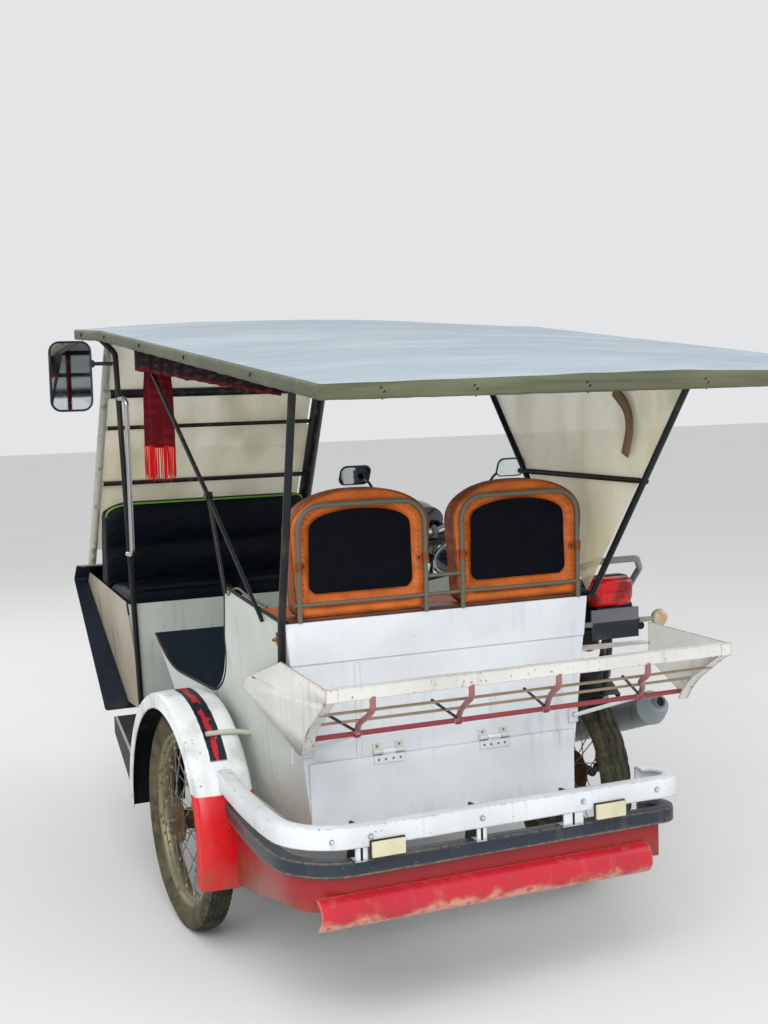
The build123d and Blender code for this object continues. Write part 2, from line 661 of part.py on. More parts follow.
links.append(bar([
    (TUB_MID + RAIL_HALF, 120, RAIL_Z),
    (BIKE_X - 200, 190, CRADLE_Z + 50),
    (BIKE_X - 4, PIVOT_Y + 49, CRADLE_Z),
], LINK_RADIUS))
links.append(bar([
    (TUB_MID + RAIL_HALF, 700, RAIL_Z),
    (BIKE_X - 200, 680, RAIL_Z - 34),
    (BIKE_X - 4, 650, CRADLE_Z + 18),
], LINK_RADIUS))
chassis = joined(chassis)
keep("stub_axle", rod((-60, 0, AXLE_Z), (150, 0, AXLE_Z), AXLE_RADIUS)
     + rod((HUB_WIDTH / 2 + 2, 0, AXLE_Z), (150, 0, AXLE_Z), AXLE_RADIUS * 2)
     + rod((140, 0, AXLE_Z), (TUB_MID - RAIL_HALF - 40, 0, RAIL_Z), 14)
     - rod((TUB_MID - RAIL_HALF - 60, 0, RAIL_Z), (TUB_MID, 0, RAIL_Z), RAIL_RADIUS - 1))

# Fender over the side wheel, with two stays to the tub
fender = Pos(0, 0, AXLE_Z) * mudguard(FENDER_OUTER, FENDER_SIDE_X, FENDER_INNER_X,
                                      (FENDER_SKIRT, 10), SHEET, -7, 196)
for stay_y in (-215, 215):
    stay_z = AXLE_Z + math.sqrt((FENDER_OUTER - 6) ** 2 - stay_y ** 2)
    fender += rod((FENDER_INNER_X - 12, stay_y, stay_z), (x_left(stay_y, stay_z) - 1, stay_y, stay_z), 8)
keep("side_fender", fender)

RUN_Z = 384
RUN_FRONT_Y = 900
run_rear_y = FENDER_OUTER + 4
run_front_x = TUB_LEFT - 30
run_rear_x = TUB_LEFT - 122
keep("running_board", sheet([
    (run_rear_x, run_rear_y, RUN_Z),
    (run_front_x, RUN_FRONT_Y, RUN_Z),
    (x_left(RUN_FRONT_Y, FLOOR_Z) + SHEET, RUN_FRONT_Y, RUN_Z),
    (x_left(run_rear_y, FLOOR_Z) + SHEET, run_rear_y, RUN_Z),
], 4, (0, 0, -1)) + sheet([
    (run_rear_x, run_rear_y, RUN_Z),
    (run_front_x, RUN_FRONT_Y, RUN_Z),
    (run_front_x, RUN_FRONT_Y, RUN_Z - 52),
    (run_rear_x, run_rear_y, RUN_Z - 92),
], 4, (1, 0, 0)))

# Luggage rack
rack_spread = (RACK_RIGHT - RACK_FRONT_RIGHT) / (REAR_Y - RIM_Y)


def rack_right(y, z):
    """Place on the right end plate, which spreads towards the rear."""
    return (RACK_FRONT_RIGHT + (REAR_Y - y) * rack_spread, y, z)


rim_foot_z = RIM_Z - RIM_FACE
rack = [
    sheet([(RACK_LEFT, y, z) for y, z in (
        (-330, 695),
        (-360, 725),
        (REAR_Y, RIM_Z + 18),
        (RIM_Y, RIM_Z),
        (RIM_Y, rim_foot_z),
        (-802, 708),
        (-752, 672),
        (LOW_Y - 16, LOW_Z - 18),
        (LOW_Y + 14, LOW_Z - 34),
    )], SHEET, (1, 0, 0)),
    sheet([rack_right(y, z) for y, z in (
        (REAR_Y + 8, RIM_Z + 18),
        (RIM_Y, RIM_Z),
        (RIM_Y, rim_foot_z),
        (-780, 716),
        (-728, 674),
        (LOW_Y - 6, LOW_Z - 16),
        (LOW_Y + 12, LOW_Z - 14),
        (REAR_Y + 8, 706),
    )], SHEET, (-1, 0, 0)),
    block(RACK_LEFT, RACK_RIGHT, RIM_Y - SHEET, RIM_Y, rim_foot_z, RIM_Z),
    block(RACK_LEFT, RACK_RIGHT, RIM_Y - SHEET, RIM_Y + 26, RIM_Z - SHEET, RIM_Z),
    rod((RACK_LEFT + 1, LOW_Y, LOW_Z), (rack_right(LOW_Y, LOW_Z)[0] - 1, LOW_Y, LOW_Z), 7),
    block(RACK_LEFT, x_left(-560, 745) - SEAT_GAP, -556, -400, 730, 730 + SHEET),
    sheet([
        (x_right(REAR_Y, 745) + 2 * SEAT_GAP, REAR_Y + 2, 745),
        (RACK_FRONT_RIGHT - 1, REAR_Y + 2, 745),
        (RACK_FRONT_RIGHT - 1, REAR_Y + 40, 745),
        (x_right(REAR_Y + 60, 745) + 2 * SEAT_GAP, REAR_Y + 60, 745),
    ], SHEET, (0, 0, 1)),
]
SLATS = ((-812, 716), (-762, 684))
for slat_y, slat_z in SLATS:
    rack.append(rod((RACK_LEFT + 1, slat_y, slat_z), (rack_right(slat_y, slat_z)[0] - 1, slat_y, slat_z),
                    4.5))
UPRIGHT_SHARES = ((0.103, 0.132), (0.332, 0.377), (0.545, 0.602), (0.776, 0.856))
for top_share, foot_share in UPRIGHT_SHARES:
    top_x, foot_x = (RACK_LEFT + share * (RACK_RIGHT - RACK_LEFT) for share in (top_share, foot_share))
    rack.append(bar([
        (top_x, RIM_Y - 1, rim_foot_z + 8),
        (top_x + 8, -818, 708),
        (foot_x, LOW_Y, LOW_Z),
    ], 5, 34))
    rack.append(rod((foot_x, LOW_Y, LOW_Z), (foot_x - 118, *SLATS[0]), 3.5))
STAY_FOOT_Z = 588
STAYS = (
    (RACK_LEFT + 138, TUB_LEFT + 46),
    (RACK_RIGHT - 150, TUB_RIGHT - 45),
)
for low_x, foot_x in STAYS:
    rack.append(rod((low_x, LOW_Y, LOW_Z), (foot_x, REAR_Y - 5.5, STAY_FOOT_Z), 5))
keep("luggage_rack", joined(rack))

# Canopy: a crowned cover that falls towards the rear, on a frame of tubes
ROOF_STATIONS = (
    (ROOF_REAR, ROOF_REAR_Z),
    (ROOF_BEND_Y, ROOF_BEND_Z),
    (ROOF_FRONT, ROOF_FRONT_Z),
)
ROOF_WIDTH = ROOF_RIGHT - ROOF_LEFT
ROOF_MID = (ROOF_LEFT + ROOF_RIGHT) / 2


def roof_z(y):
    """Height of the cover's side edge at a place along the vehicle."""
    for (y0, z0), (y1, z1) in zip(ROOF_STATIONS, ROOF_STATIONS[1:]):
        if y <= y1:
            break
    return z0 + (z1 - z0) * (y - y0) / (y1 - y0)


def roof_section(y, z, inset):
    x0 = ROOF_LEFT + inset
    x1 = ROOF_RIGHT - inset
    top = z - inset
    foot = top - HEM_DROP
    return make_face([
        ThreePointArc((x0, y, top), (ROOF_MID, y, top + ROOF_CROWN), (x1, y, top)),
        Line((x1, y, top), (x1, y, foot)),
        Line((x1, y, foot), (x0, y, foot)),
        Line((x0, y, foot), (x0, y, top)),
    ])


outer = loft([roof_section(y, z, 0) for y, z in ROOF_STATIONS], ruled=True)
inner = loft([
    roof_section(y, roof_z(y), ROOF_SKIN)
    for y in (ROOF_REAR + ROOF_SKIN, ROOF_BEND_Y, ROOF_FRONT - ROOF_SKIN)
], ruled=True)
keep("canopy_cover", outer - inner)

ROOF_TUBE_DROP = ROOF_SKIN + TUBE - 1.6
side_x = (ROOF_LEFT + SIDE_TUBE_INSET, ROOF_RIGHT - SIDE_TUBE_INSET)
end_ys = (ROOF_REAR + 30, ROOF_FRONT - 30)


def tube_z(y):
    """Height of the roof tubes' centre."""
    return roof_z(y) - ROOF_TUBE_DROP


tubes = []
for x in side_x:
    tubes.append(bar([(x, y, tube_z(y)) for y in (end_ys[0], ROOF_BEND_Y, end_ys[1])], TUBE))
for y in (end_ys[0], -300, 380, end_ys[1]):
    tubes.append(rod((side_x[0], y, tube_z(y)), (side_x[1], y, tube_z(y)), CROSS_TUBE))
SCREEN_X = TUB_RIGHT + 9.5
tubes.append(rod((SCREEN_X, end_ys[0], tube_z(end_ys[0])), (SCREEN_X, 380, tube_z(380)), CROSS_TUBE - 1))
post_foot_x = x_left(POST_Y, FLOOR_Z + 30) - 6
front_post_x = TUB_LEFT + 26
tubes.append(bar([(side_x[0], POST_Y, tube_z(POST_Y)), (front_post_x, POST_Y, tube_z(POST_Y) - 60),
                  (post_foot_x, POST_Y, FLOOR_Z + 30)], 9, 30))
rear_foot_x = x_left(-560, 765) - 9 - 0.5
rear_head_x = x_left(REAR_Y, TUB_TOP_Z) - 9 - 0.5
tubes.append(bar([
    (rear_foot_x, -560, 765),
    (rear_head_x, REAR_Y - 6, TUB_TOP_Z + 4),
    (side_x[0], -790, tube_z(-790)),
], 9, 60))
keep("roof_frame", joined(tubes))

# Folding strut beside the entry: a long upper arm, its joint and two short legs on the tub's edge
STRUT_X = TUB_LEFT - 12
STRUT_JOINT = (-108, 1148)
strut = rod((STRUT_X, *STRUT_JOINT), (STRUT_X - 20, 404, roof_z(404) - ROOF_TUBE_DROP - TUBE - 5), 6)
strut += rod((STRUT_X - 9, *STRUT_JOINT), (STRUT_X + 9, *STRUT_JOINT), 11)
for foot_y, foot_z in ((PEAK[0] - 24, PEAK[1] - 12), (PEAK[0] - 290, PEAK[1] - 44)):
    strut += rod((STRUT_X, *STRUT_JOINT), (x_left(foot_y, foot_z) - 7, foot_y, foot_z), 5)
keep("folding_strut", strut)


# Windshield
def shield_y(z):
    share = (z - SHIELD_FOOT[1]) / (SHIELD_TOP[1] - SHIELD_FOOT[1])
    return SHIELD_FOOT[0] + (SHIELD_TOP[0] - SHIELD_FOOT[0]) * share


shield = []
pillar_foot_z = NOSE_TOP_Z + 20 + SHEET / 2 + 2
pillar_top_z = tube_z(end_ys[1]) + 10
for x, radius in ((SHIELD_LEFT, PILLAR_RADIUS), (SHIELD_RIGHT, WIDE_PILLAR_RADIUS)):
    shield.append(rod((x, shield_y(pillar_foot_z), pillar_foot_z), (x, shield_y(pillar_top_z), pillar_top_z),
                      radius))
for z, radius in ((1107, 8), (1296, 7), (1409, 15)):
    shield.append(rod((SHIELD_LEFT, shield_y(z), z), (SHIELD_RIGHT, shield_y(z), z), radius))
header_hole = rod((side_x[0], end_ys[1], tube_z(end_ys[1])), (side_x[1], end_ys[1], tube_z(end_ys[1])),
                  CROSS_TUBE + SEAT_GAP)
above_header = block(SHIELD_LEFT - 90, SHIELD_RIGHT + 150, 900, 1200, tube_z(end_ys[1]), 1700)
nose_cut = block(SHIELD_LEFT - 90, SHIELD_RIGHT + 150, 1200, 1500, 700, NOSE_TOP_Z + 20 + SHEET / 2 + SEAT_GAP)
keep("shield_frame", joined(shield) - header_hole - above_header - nose_cut)
sheet_gap = PILLAR_RADIUS + 1.5
keep("shield_sheet", sheet([
    (SHIELD_LEFT + sheet_gap, shield_y(1118), 1118),
    (SHIELD_LEFT + sheet_gap, shield_y(1285), 1285),
    (SHIELD_RIGHT - WIDE_PILLAR_RADIUS - SEAT_GAP, shield_y(1285), 1285),
    (SHIELD_RIGHT - WIDE_PILLAR_RADIUS - SEAT_GAP, shield_y(1118), 1118),
], 2, (0, 1, 0)))

# Side screen between the tub and the rider: a V of bars with a tie across
screen_foot_z = TUB_TOP_Z + 8
screen = [
    rod((SCREEN_X, -535, screen_foot_z), (SCREEN_X, -12, tube_z(-12) - 5), 8),
    rod((SCREEN_X, -612, screen_foot_z), (SCREEN_X, end_ys[0] - 14, tube_z(end_ys[0]) - 8), 8),
    rod((SCREEN_X, -612, screen_foot_z), (SCREEN_X, -535, screen_foot_z), 9),
    rod((SCREEN_X, -262, 1180), (SCREEN_X, -852, 1180), 7),
]
screen_hole = rod((SCREEN_X, end_ys[0], tube_z(end_ys[0])), (SCREEN_X, 380, tube_z(380)),
                  CROSS_TUBE - 1 + SEAT_GAP)
rear_hole = rod((side_x[0], end_ys[0], tube_z(end_ys[0])), (side_x[1], end_ys[0], tube_z(end_ys[0])),
                CROSS_TUBE + SEAT_GAP)
screen_top_cut = sheet([
    (SCREEN_X - 40, ROOF_REAR - 60, tube_z(ROOF_REAR - 60)),
    (SCREEN_X - 40, 380, tube_z(380)),
    (SCREEN_X + 40, 380, tube_z(380)),
    (SCREEN_X + 40, ROOF_REAR - 60, tube_z(ROOF_REAR - 60)),
], 60, (0, 0, 1))
keep("screen_frame", joined(screen) - screen_hole - rear_hole - screen_top_cut)
keep("screen_sheet", sheet([
    (SCREEN_X + 8 + SEAT_GAP, -574, screen_foot_z + 6),
    (SCREEN_X + 8 + SEAT_GAP, -88, 1392),
    (SCREEN_X + 8 + SEAT_GAP, -985, 1392),
], 2, (1, 0, 0)))

# Small things at the front post and under the hem
HANDLE_X = TUB_LEFT + 44
HANDLE_Y = POST_Y - 44
handle_top_z = 1394
handle_foot_z = 900
post_line_x = TUB_LEFT + 28
handle = bar([
    (post_line_x + 2, POST_Y, handle_top_z),
    (HANDLE_X, HANDLE_Y, handle_top_z),
    (HANDLE_X, HANDLE_Y, handle_foot_z),
    (post_line_x + 12, POST_Y, handle_foot_z),
], 8, 20)
post_clear = bar([(front_post_x, POST_Y, tube_z(POST_Y) - 60), (post_foot_x, POST_Y, FLOOR_Z + 30)],
                 9 + SEAT_GAP)
keep("grab_handle", handle - post_clear)
mirror = block(MIRROR_LEFT, MIRROR_RIGHT, POST_Y + 2, POST_Y + 26, 1358, 1578)
mirror = fillet(mirror.edges().filter_by(Axis.Y), 22)
mirror += rod((MIRROR_RIGHT - 4, POST_Y + 14, 1506), (post_line_x, POST_Y + 2, 1506), 6)
keep("side_mirror", mirror - post_clear)

cloth_x = side_x[0] - TUBE - 4 - SEAT_GAP
keep("woven_pelmet", sheet([
    (cloth_x, 420, tube_z(420)),
    (cloth_x, 420, tube_z(420) - 84),
    (cloth_x, -550, tube_z(-550) - 58),
    (cloth_x, -550, tube_z(-550)),
], 4, (1, 0, 0)))
scarf_x = side_x[0] + 35
scarf_top_z = tube_z(380) - CROSS_TUBE - SEAT_GAP
keep("scarf", sheet([
    (scarf_x, 440, scarf_top_z),
    (scarf_x, 440, 1120),
    (scarf_x, 300, 1070),
    (scarf_x, 300, scarf_top_z),
], 5, (1, 0, 0)))

# Motorcycle: steering axis
axis_lean = math.radians(RAKE)
head_foot_y = FRONT_AXLE_Y + TRAIL
steer_plane = Plane(origin=(BIKE_X, head_foot_y, 0), x_dir=(1, 0, 0),
                    z_dir=(0, -math.sin(axis_lean), math.cos(axis_lean)))


def on_axis(up):
    """Place on the steering axis at a distance up from the ground."""
    return (BIKE_X, head_foot_y - up * math.sin(axis_lean), up * math.cos(axis_lean))


axle_up = AXLE_Z * math.cos(axis_lean) + TRAIL * math.sin(axis_lean)
leg_offset = (FRONT_AXLE_Y - head_foot_y) * math.cos(axis_lean) + AXLE_Z * math.sin(axis_lean)
low_yoke_up = axle_up + LOW_YOKE_RISE
top_yoke_up = axle_up + TOP_YOKE_RISE
head_low = low_yoke_up + YOKE_THICK / 2 + SEAT_GAP
head_top = top_yoke_up - YOKE_THICK / 2 - SEAT_GAP
backbone_head = on_axis(head_top - 40)
down_head = on_axis(head_low + 52)

backbone = [
    backbone_head,
    (BIKE_X, 330, SEAT_RAIL_Z),
    (BIKE_X, 70, SEAT_RAIL_Z - 50),
]
frame = [
    rod(on_axis(head_low), on_axis(head_top), 26),
    bar(backbone + [
        (BIKE_X, PIVOT_Y - 30, AXLE_Z + 190),
        (BIKE_X, PIVOT_Y, AXLE_Z),
        (BIKE_X, PIVOT_Y + 34, CRADLE_Z),
        (BIKE_X, 640, CRADLE_Z),
        (BIKE_X, 690, AXLE_Z + 40),
        down_head,
    ], FRAME_RADIUS),
]
for side in (-1, 1):
    rail_x = BIKE_X + side * SEAT_RAIL_HALF
    frame.append(bar([
        (BIKE_X, 100, SEAT_RAIL_Z - 40),
        (rail_x, -60, SEAT_RAIL_Z - 28),
        (rail_x, -330, SEAT_RAIL_Z),
    ], SEAT_RAIL_RADIUS))
    frame.append(block(min(BIKE_X + side * (SHOCK_HALF - 8), BIKE_X + side * (SHOCK_HALF + 8)),
                       max(BIKE_X + side * (SHOCK_HALF - 8), BIKE_X + side * (SHOCK_HALF + 8)),
                       -190, -170, SEAT_RAIL_Z - 28 + SEAT_GAP, SEAT_RAIL_Z - 16))
    frame.append(rod((BIKE_X, 330, CRADLE_Z), (BIKE_X + side * 250, 330, CRADLE_Z + 18), 10))
seat_cross_z = SEAT_RAIL_Z - 3
frame.append(rod((BIKE_X - SEAT_RAIL_HALF, -300, seat_cross_z), (BIKE_X + SEAT_RAIL_HALF, -300, seat_cross_z), 9))
frame = joined(frame)
keep("bike_frame", frame)

# The third link, from the tub's side to the down tube
share = (AXLE_Z + 210 - (AXLE_Z + 40)) / (down_head[2] - (AXLE_Z + 40))
link_y = 690 + (down_head[1] - 690) * share
links.append(rod((x_right(640, 520) + 4.6, 640, 520), (BIKE_X - 4, link_y, AXLE_Z + 210), LINK_RADIUS))
loop_clear = bar([
    (BIKE_X, PIVOT_Y, AXLE_Z),
    (BIKE_X, PIVOT_Y + 34, CRADLE_Z),
    (BIKE_X, 640, CRADLE_Z),
    (BIKE_X, 690, AXLE_Z + 40),
    down_head,
], FRAME_RADIUS + SEAT_GAP)
keep("chassis", joined([chassis] + [link - loop_clear for link in links]))

ENGINE_HALF = 115
engine = block(BIKE_X - ENGINE_HALF, BIKE_X + ENGINE_HALF, PIVOT_Y + 40, 600,
               CRADLE_Z + FRAME_RADIUS + SEAT_GAP, AXLE_Z + 180)
cylinder_lean = 28
cylinder_mid = (BIKE_X, 520, AXLE_Z + 230)
engine += Pos(*cylinder_mid) * Rot(-cylinder_lean, 0, 0) * Box(120, 120, 230)
for fin in range(5):
    engine += (Pos(*cylinder_mid) * Rot(-cylinder_lean, 0, 0) * Pos(0, 0, 10 + fin * 20)
               * Box(146, 146, 6))
engine += Pos(BIKE_X - ENGINE_HALF - 6, 380, AXLE_Z + 60) * Rot(0, 90, 0) * Cylinder(78, 14)
engine += Pos(BIKE_X + ENGINE_HALF + 4, 400, AXLE_Z + 60) * Rot(0, 90, 0) * Cylinder(88, 10)
keep("engine", engine - frame - bar(backbone, FRAME_RADIUS + SEAT_GAP))

tank_z = SEAT_RAIL_Z + 30
tank_sections = []
for tank_x, drop in ((-118, 46), (-84, 12), (0, 0), (84, 12), (118, 46)):
    tank_sections.append(Plane(origin=(BIKE_X + tank_x, 0, 0), x_dir=(0, 1, 0), z_dir=(1, 0, 0)) * make_face([
        Line((124 + drop, tank_z), (172 + drop, tank_z + 135 - drop)),
        ThreePointArc((172 + drop, tank_z + 135 - drop), (340, tank_z + 180 - drop),
                      (560 - drop, tank_z + 130 - drop)),
        Line((560 - drop, tank_z + 130 - drop), (612 - drop, tank_z + 30)),
        Line((612 - drop, tank_z + 30), (124 + drop, tank_z)),
    ]))
tank = loft(tank_sections, ruled=True)
keep("fuel_tank", tank - bar(backbone, FRAME_RADIUS + SEAT_GAP))
keep("bike_seat", fillet(across([
    (108, tank_z + 2),
    (100, tank_z + 58),
    (-60, tank_z + 70),
    (-284, tank_z + 92),
    (-298, tank_z + 34),
    (-288, SEAT_RAIL_Z - 4 + SEAT_RAIL_RADIUS),
    (-60, SEAT_RAIL_Z - 4 + SEAT_RAIL_RADIUS),
], BIKE_X - BIKE_SEAT_HALF, BIKE_X + BIKE_SEAT_HALF).edges().filter_by(Axis.X).group_by(Axis.Z)[-1], 20)
     - bar(backbone, FRAME_RADIUS + SEAT_GAP))
cover_profile = [(168, AXLE_Z + 310), (112, SEAT_RAIL_Z + 24), (-60, SEAT_RAIL_Z + 20),
                 (-96, SEAT_RAIL_Z - 100),
                 (-40, AXLE_Z + 330)]
covers = []
for side in (-1, 1):
    near = BIKE_X + side * (SEAT_RAIL_HALF + SEAT_RAIL_RADIUS + SEAT_GAP)
    far = near + side * 7
    covers.append(across(cover_profile, min(near, far), max(near, far)))
keep("tail_cover", joined(covers))

# Tail of the motorcycle: lamp, plate holder, indicators, grab rail and mudguard
lamp_foot, lamp_top = LAMP_Z
lamp_face = [
    (BIKE_X - LAMP_HALF, lamp_foot + 14),
    (BIKE_X - LAMP_HALF + 8, lamp_top - 10),
    (BIKE_X - LAMP_HALF + 22, lamp_top),
    (BIKE_X + LAMP_HALF - 22, lamp_top),
    (BIKE_X + LAMP_HALF - 8, lamp_top - 10),
    (BIKE_X + LAMP_HALF, lamp_foot + 14),
    (BIKE_X + LAMP_HALF - 14, lamp_foot),
    (BIKE_X - LAMP_HALF + 14, lamp_foot),
]
keep("tail_lamp", sheet([(x, LAMP_REAR_Y, z) for x, z in lamp_face], 60, (0, 1, 0)))
PLATE_HALF = 75
plate_y = LAMP_REAR_Y + 4
rear_guard_radius = TYRE_RADIUS + GUARD_GAP + 20
guard = Pos(BIKE_X, REAR_AXLE_Y, AXLE_Z) * mudguard(rear_guard_radius, -54, 54, (26, 26), SHEET, 62, 128)
guard += block(BIKE_X - PLATE_HALF, BIKE_X + PLATE_HALF, plate_y, plate_y + 4,
               lamp_foot - 82, lamp_foot - SEAT_GAP)
guard += block(BIKE_X - 22, BIKE_X + 22, plate_y + 3, -302, SEAT_RAIL_Z + 6 + SEAT_GAP, lamp_foot - SEAT_GAP)
guard += bar([
    (BIKE_X, REAR_AXLE_Y - rear_guard_radius * 0.6, AXLE_Z + rear_guard_radius * 0.8 - 4),
    (BIKE_X, -330, SEAT_RAIL_Z - 60),
    (BIKE_X, -335, SEAT_RAIL_Z + 20),
], 8, 12)
keep("rear_mudguard", guard)
lenses = []
indicator_z = lamp_foot - 38
for side in (-1, 1):
    stalk_x = BIKE_X + side * (PLATE_HALF + SEAT_GAP)
    lens_x = BIKE_X + side * (PLATE_HALF + 70)
    lenses.append(rod((stalk_x, plate_y + 2, indicator_z), (lens_x, plate_y + 2, indicator_z), 6))
    lenses.append(Pos(lens_x, plate_y + 2, indicator_z) * Rot(90, 0, 0) * Cylinder(24, 34))
keep("indicators", joined(lenses[:2]) + joined(lenses[2:]))
rail_foot_x = SEAT_RAIL_HALF + SEAT_RAIL_RADIUS + 9 + SEAT_GAP
keep("grab_rail", bar([
    (BIKE_X - rail_foot_x, -200, SEAT_RAIL_Z - 16),
    (BIKE_X - rail_foot_x, -206, lamp_foot),
    (BIKE_X - rail_foot_x, -296, lamp_top + 8),
    (BIKE_X - 62, LAMP_REAR_Y - 8, lamp_top + 46),
    (BIKE_X + 62, LAMP_REAR_Y - 8, lamp_top + 46),
    (BIKE_X + rail_foot_x, -296, lamp_top + 8),
    (BIKE_X + rail_foot_x, -206, lamp_foot),
    (BIKE_X + rail_foot_x, -200, SEAT_RAIL_Z - 16),
], 9, 26))

MUFFLER_X = 162
MUFFLER_RADIUS = 48
muffler_front = (BIKE_X + MUFFLER_X + 4, 190, AXLE_Z + 46)
muffler_end = (BIKE_X + MUFFLER_X, -290, AXLE_Z + 206)
span = Vector(*muffler_end) - Vector(*muffler_front)
muffler_place = Plane(origin=muffler_front, z_dir=span)
silencer = revolve(Plane.XZ * make_face(Polyline(
    (0, -40), (16, -40), (MUFFLER_RADIUS, 40), (MUFFLER_RADIUS, span.length),
    (24, span.length + 56), (0, span.length + 56), close=True)), Axis.Z)
silencer = muffler_place * silencer
silencer += muffler_place * Pos(14, -8, span.length + 20) * Cylinder(15, 90)
pipe_dir = Vector(0, math.cos(math.radians(cylinder_lean)), -math.sin(math.radians(cylinder_lean)))
pipe_start = Vector(BIKE_X + 24, cylinder_mid[1], cylinder_mid[2]) + pipe_dir * (73 + SEAT_GAP)
pipe_start += Vector(0, math.sin(math.radians(cylinder_lean)), math.cos(math.radians(cylinder_lean))) * 10
pipe_end = Vector(*muffler_front) - span.normalized() * 36
silencer += bar([
    tuple(pipe_start),
    tuple(pipe_start + pipe_dir * 60),
    (BIKE_X + 120, 690, AXLE_Z + 20),
    (BIKE_X + 152, 590, AXLE_Z - 72),
    (BIKE_X + 156, 300, AXLE_Z - 72),
    tuple(pipe_end),
], 13)
keep("muffler", silencer)

swing = []
for side in (-1, 1):
    swing.append(rod((BIKE_X + side * SWING_HALF, PIVOT_Y + 10, PIVOT_Z),
                     (BIKE_X + side * SWING_HALF, REAR_AXLE_Y - 40, AXLE_Z), SWING_RADIUS))
swing_out = SWING_HALF + SWING_RADIUS
swing.append(rod((BIKE_X - swing_out, REAR_AXLE_Y, AXLE_Z), (BIKE_X + swing_out, REAR_AXLE_Y, AXLE_Z),
                 AXLE_RADIUS))
swing.append(rod((BIKE_X - swing_out, PIVOT_Y, PIVOT_Z), (BIKE_X + swing_out, PIVOT_Y, PIVOT_Z), 12))
frame_core = bar([
    (BIKE_X, PIVOT_Y - 30, AXLE_Z + 190),
    (BIKE_X, PIVOT_Y, AXLE_Z),
    (BIKE_X, PIVOT_Y + 34, CRADLE_Z),
], FRAME_RADIUS + SEAT_GAP)
keep("swing_arm", joined(swing) - frame_core)
shocks = []
for side in (-1, 1):
    x = BIKE_X + side * SHOCK_HALF
    shocks.append(rod((x, -126, AXLE_Z + 14), (x, -178, SEAT_RAIL_Z - 44), 8)
                  + rod((x, -134, AXLE_Z + 74), (x, -172, SEAT_RAIL_Z - 90), SHOCK_RADIUS)
                  + rod((x - 12, -180, SEAT_RAIL_Z - 40), (x + 12, -180, SEAT_RAIL_Z - 40), 12)
                  + rod((BIKE_X + side * (swing_out + SEAT_GAP), -126, AXLE_Z + 8),
                        (BIKE_X + side * (SHOCK_HALF + 14), -126, AXLE_Z + 8), 14))
keep("shock_absorbers", shocks[0] + shocks[1])

# Steering: fork, bars, cowl, mudguard and mirrors turn together
legs = []
for side in (-1, 1):
    legs.append(Pos(side * LEG_HALF, leg_offset, axle_up - 20)
                * Cylinder(LEG_RADIUS, TOP_YOKE_RISE + 30, align=(Align.CENTER, Align.CENTER, Align.MIN)))
yoke_reach = leg_offset + LEG_RADIUS + 1
for up in (low_yoke_up, top_yoke_up):
    legs.append(Pos(0, (yoke_reach - 26) / 2, up) * Box(2 * LEG_HALF + 40, yoke_reach + 26, YOKE_THICK))
legs.append(Pos(0, leg_offset, axle_up) * Rot(0, 90, 0) * Cylinder(AXLE_RADIUS, 2 * LEG_HALF))
keep("fork", steer_plane * joined(legs))
bar_up = top_yoke_up + YOKE_THICK / 2 + SEAT_GAP + 7
handlebar = bar([
    (-BAR_HALF, -62, bar_up + 112),
    (-140, 10, bar_up + 96),
    (-66, 0, bar_up + 16),
    (66, 0, bar_up + 16),
    (140, 10, bar_up + 96),
    (BAR_HALF, -62, bar_up + 112),
], BAR_RADIUS)
handlebar += Pos(0, 0, bar_up) * Box(90, 30, 14)
for side in (-1, 1):
    handlebar += bar([(side * 190, 0, bar_up + 100), (side * 230, 30, bar_up + 205),
                      (side * 262, 30, bar_up + 229)], 5)
    handlebar += Pos(side * 290, 30, bar_up + 236) * Box(108, 16, 70)
keep("handlebar", steer_plane * handlebar)
cowl_back = yoke_reach + SEAT_GAP
COWL_SECTIONS = (
    # distance ahead, drop below the top yoke, width, height, corner radius
    (0, 22, 204, 216, 70),
    (66, 22, 190, 200, 76),
    (106, 26, 140, 146, 66),
)
cowl = loft([
    Plane(origin=(0, cowl_back + ahead, top_yoke_up - drop), x_dir=(1, 0, 0), z_dir=(0, 1, 0))
    * RectangleRounded(width, height, corner)
    for ahead, drop, width, height, corner in COWL_SECTIONS
], ruled=True)
keep("headlamp_cowl", steer_plane * cowl)
front_guard_radius = TYRE_RADIUS + GUARD_GAP + SHEET
front_guard = Pos(BIKE_X, FRONT_AXLE_Y, AXLE_Z) * mudguard(
    front_guard_radius, -52, 52, (24, 24), SHEET, 28, 172)
lug = steer_plane * joined([
    Pos(side * (50 + LEG_HALF - LEG_RADIUS - SEAT_GAP) / 2, leg_offset, axle_up + front_guard_radius - 16)
    * Box(LEG_HALF - LEG_RADIUS - SEAT_GAP - 50, 26, 14)
    for side in (-1, 1)
])
keep("front_mudguard", front_guard + lug)

for name, shape in pieces.items():
    export_step(Pos(-MIDDLE_X, -MIDDLE_Y, 0) * shape, f"parts/{name}.step")

whole = Compound(children=[Pos(-MIDDLE_X, -MIDDLE_Y, 0) * shape for shape in pieces.values()]).bounding_box()
print("box", whole.min, whole.max)
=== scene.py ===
"""Looks of the motor trike: its paint, cloth, cushions, tyres and small fittings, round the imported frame.

Forms are drawn in the layout's millimetres: X = 0 in the plane of the side wheel, Y = 0 at its axle
and Z = 0 on the ground. at() turns a place of the layout into a point of the frame in metres.
"""
import math
import random

import bmesh
import bpy
from mathutils import Matrix, Vector, noise


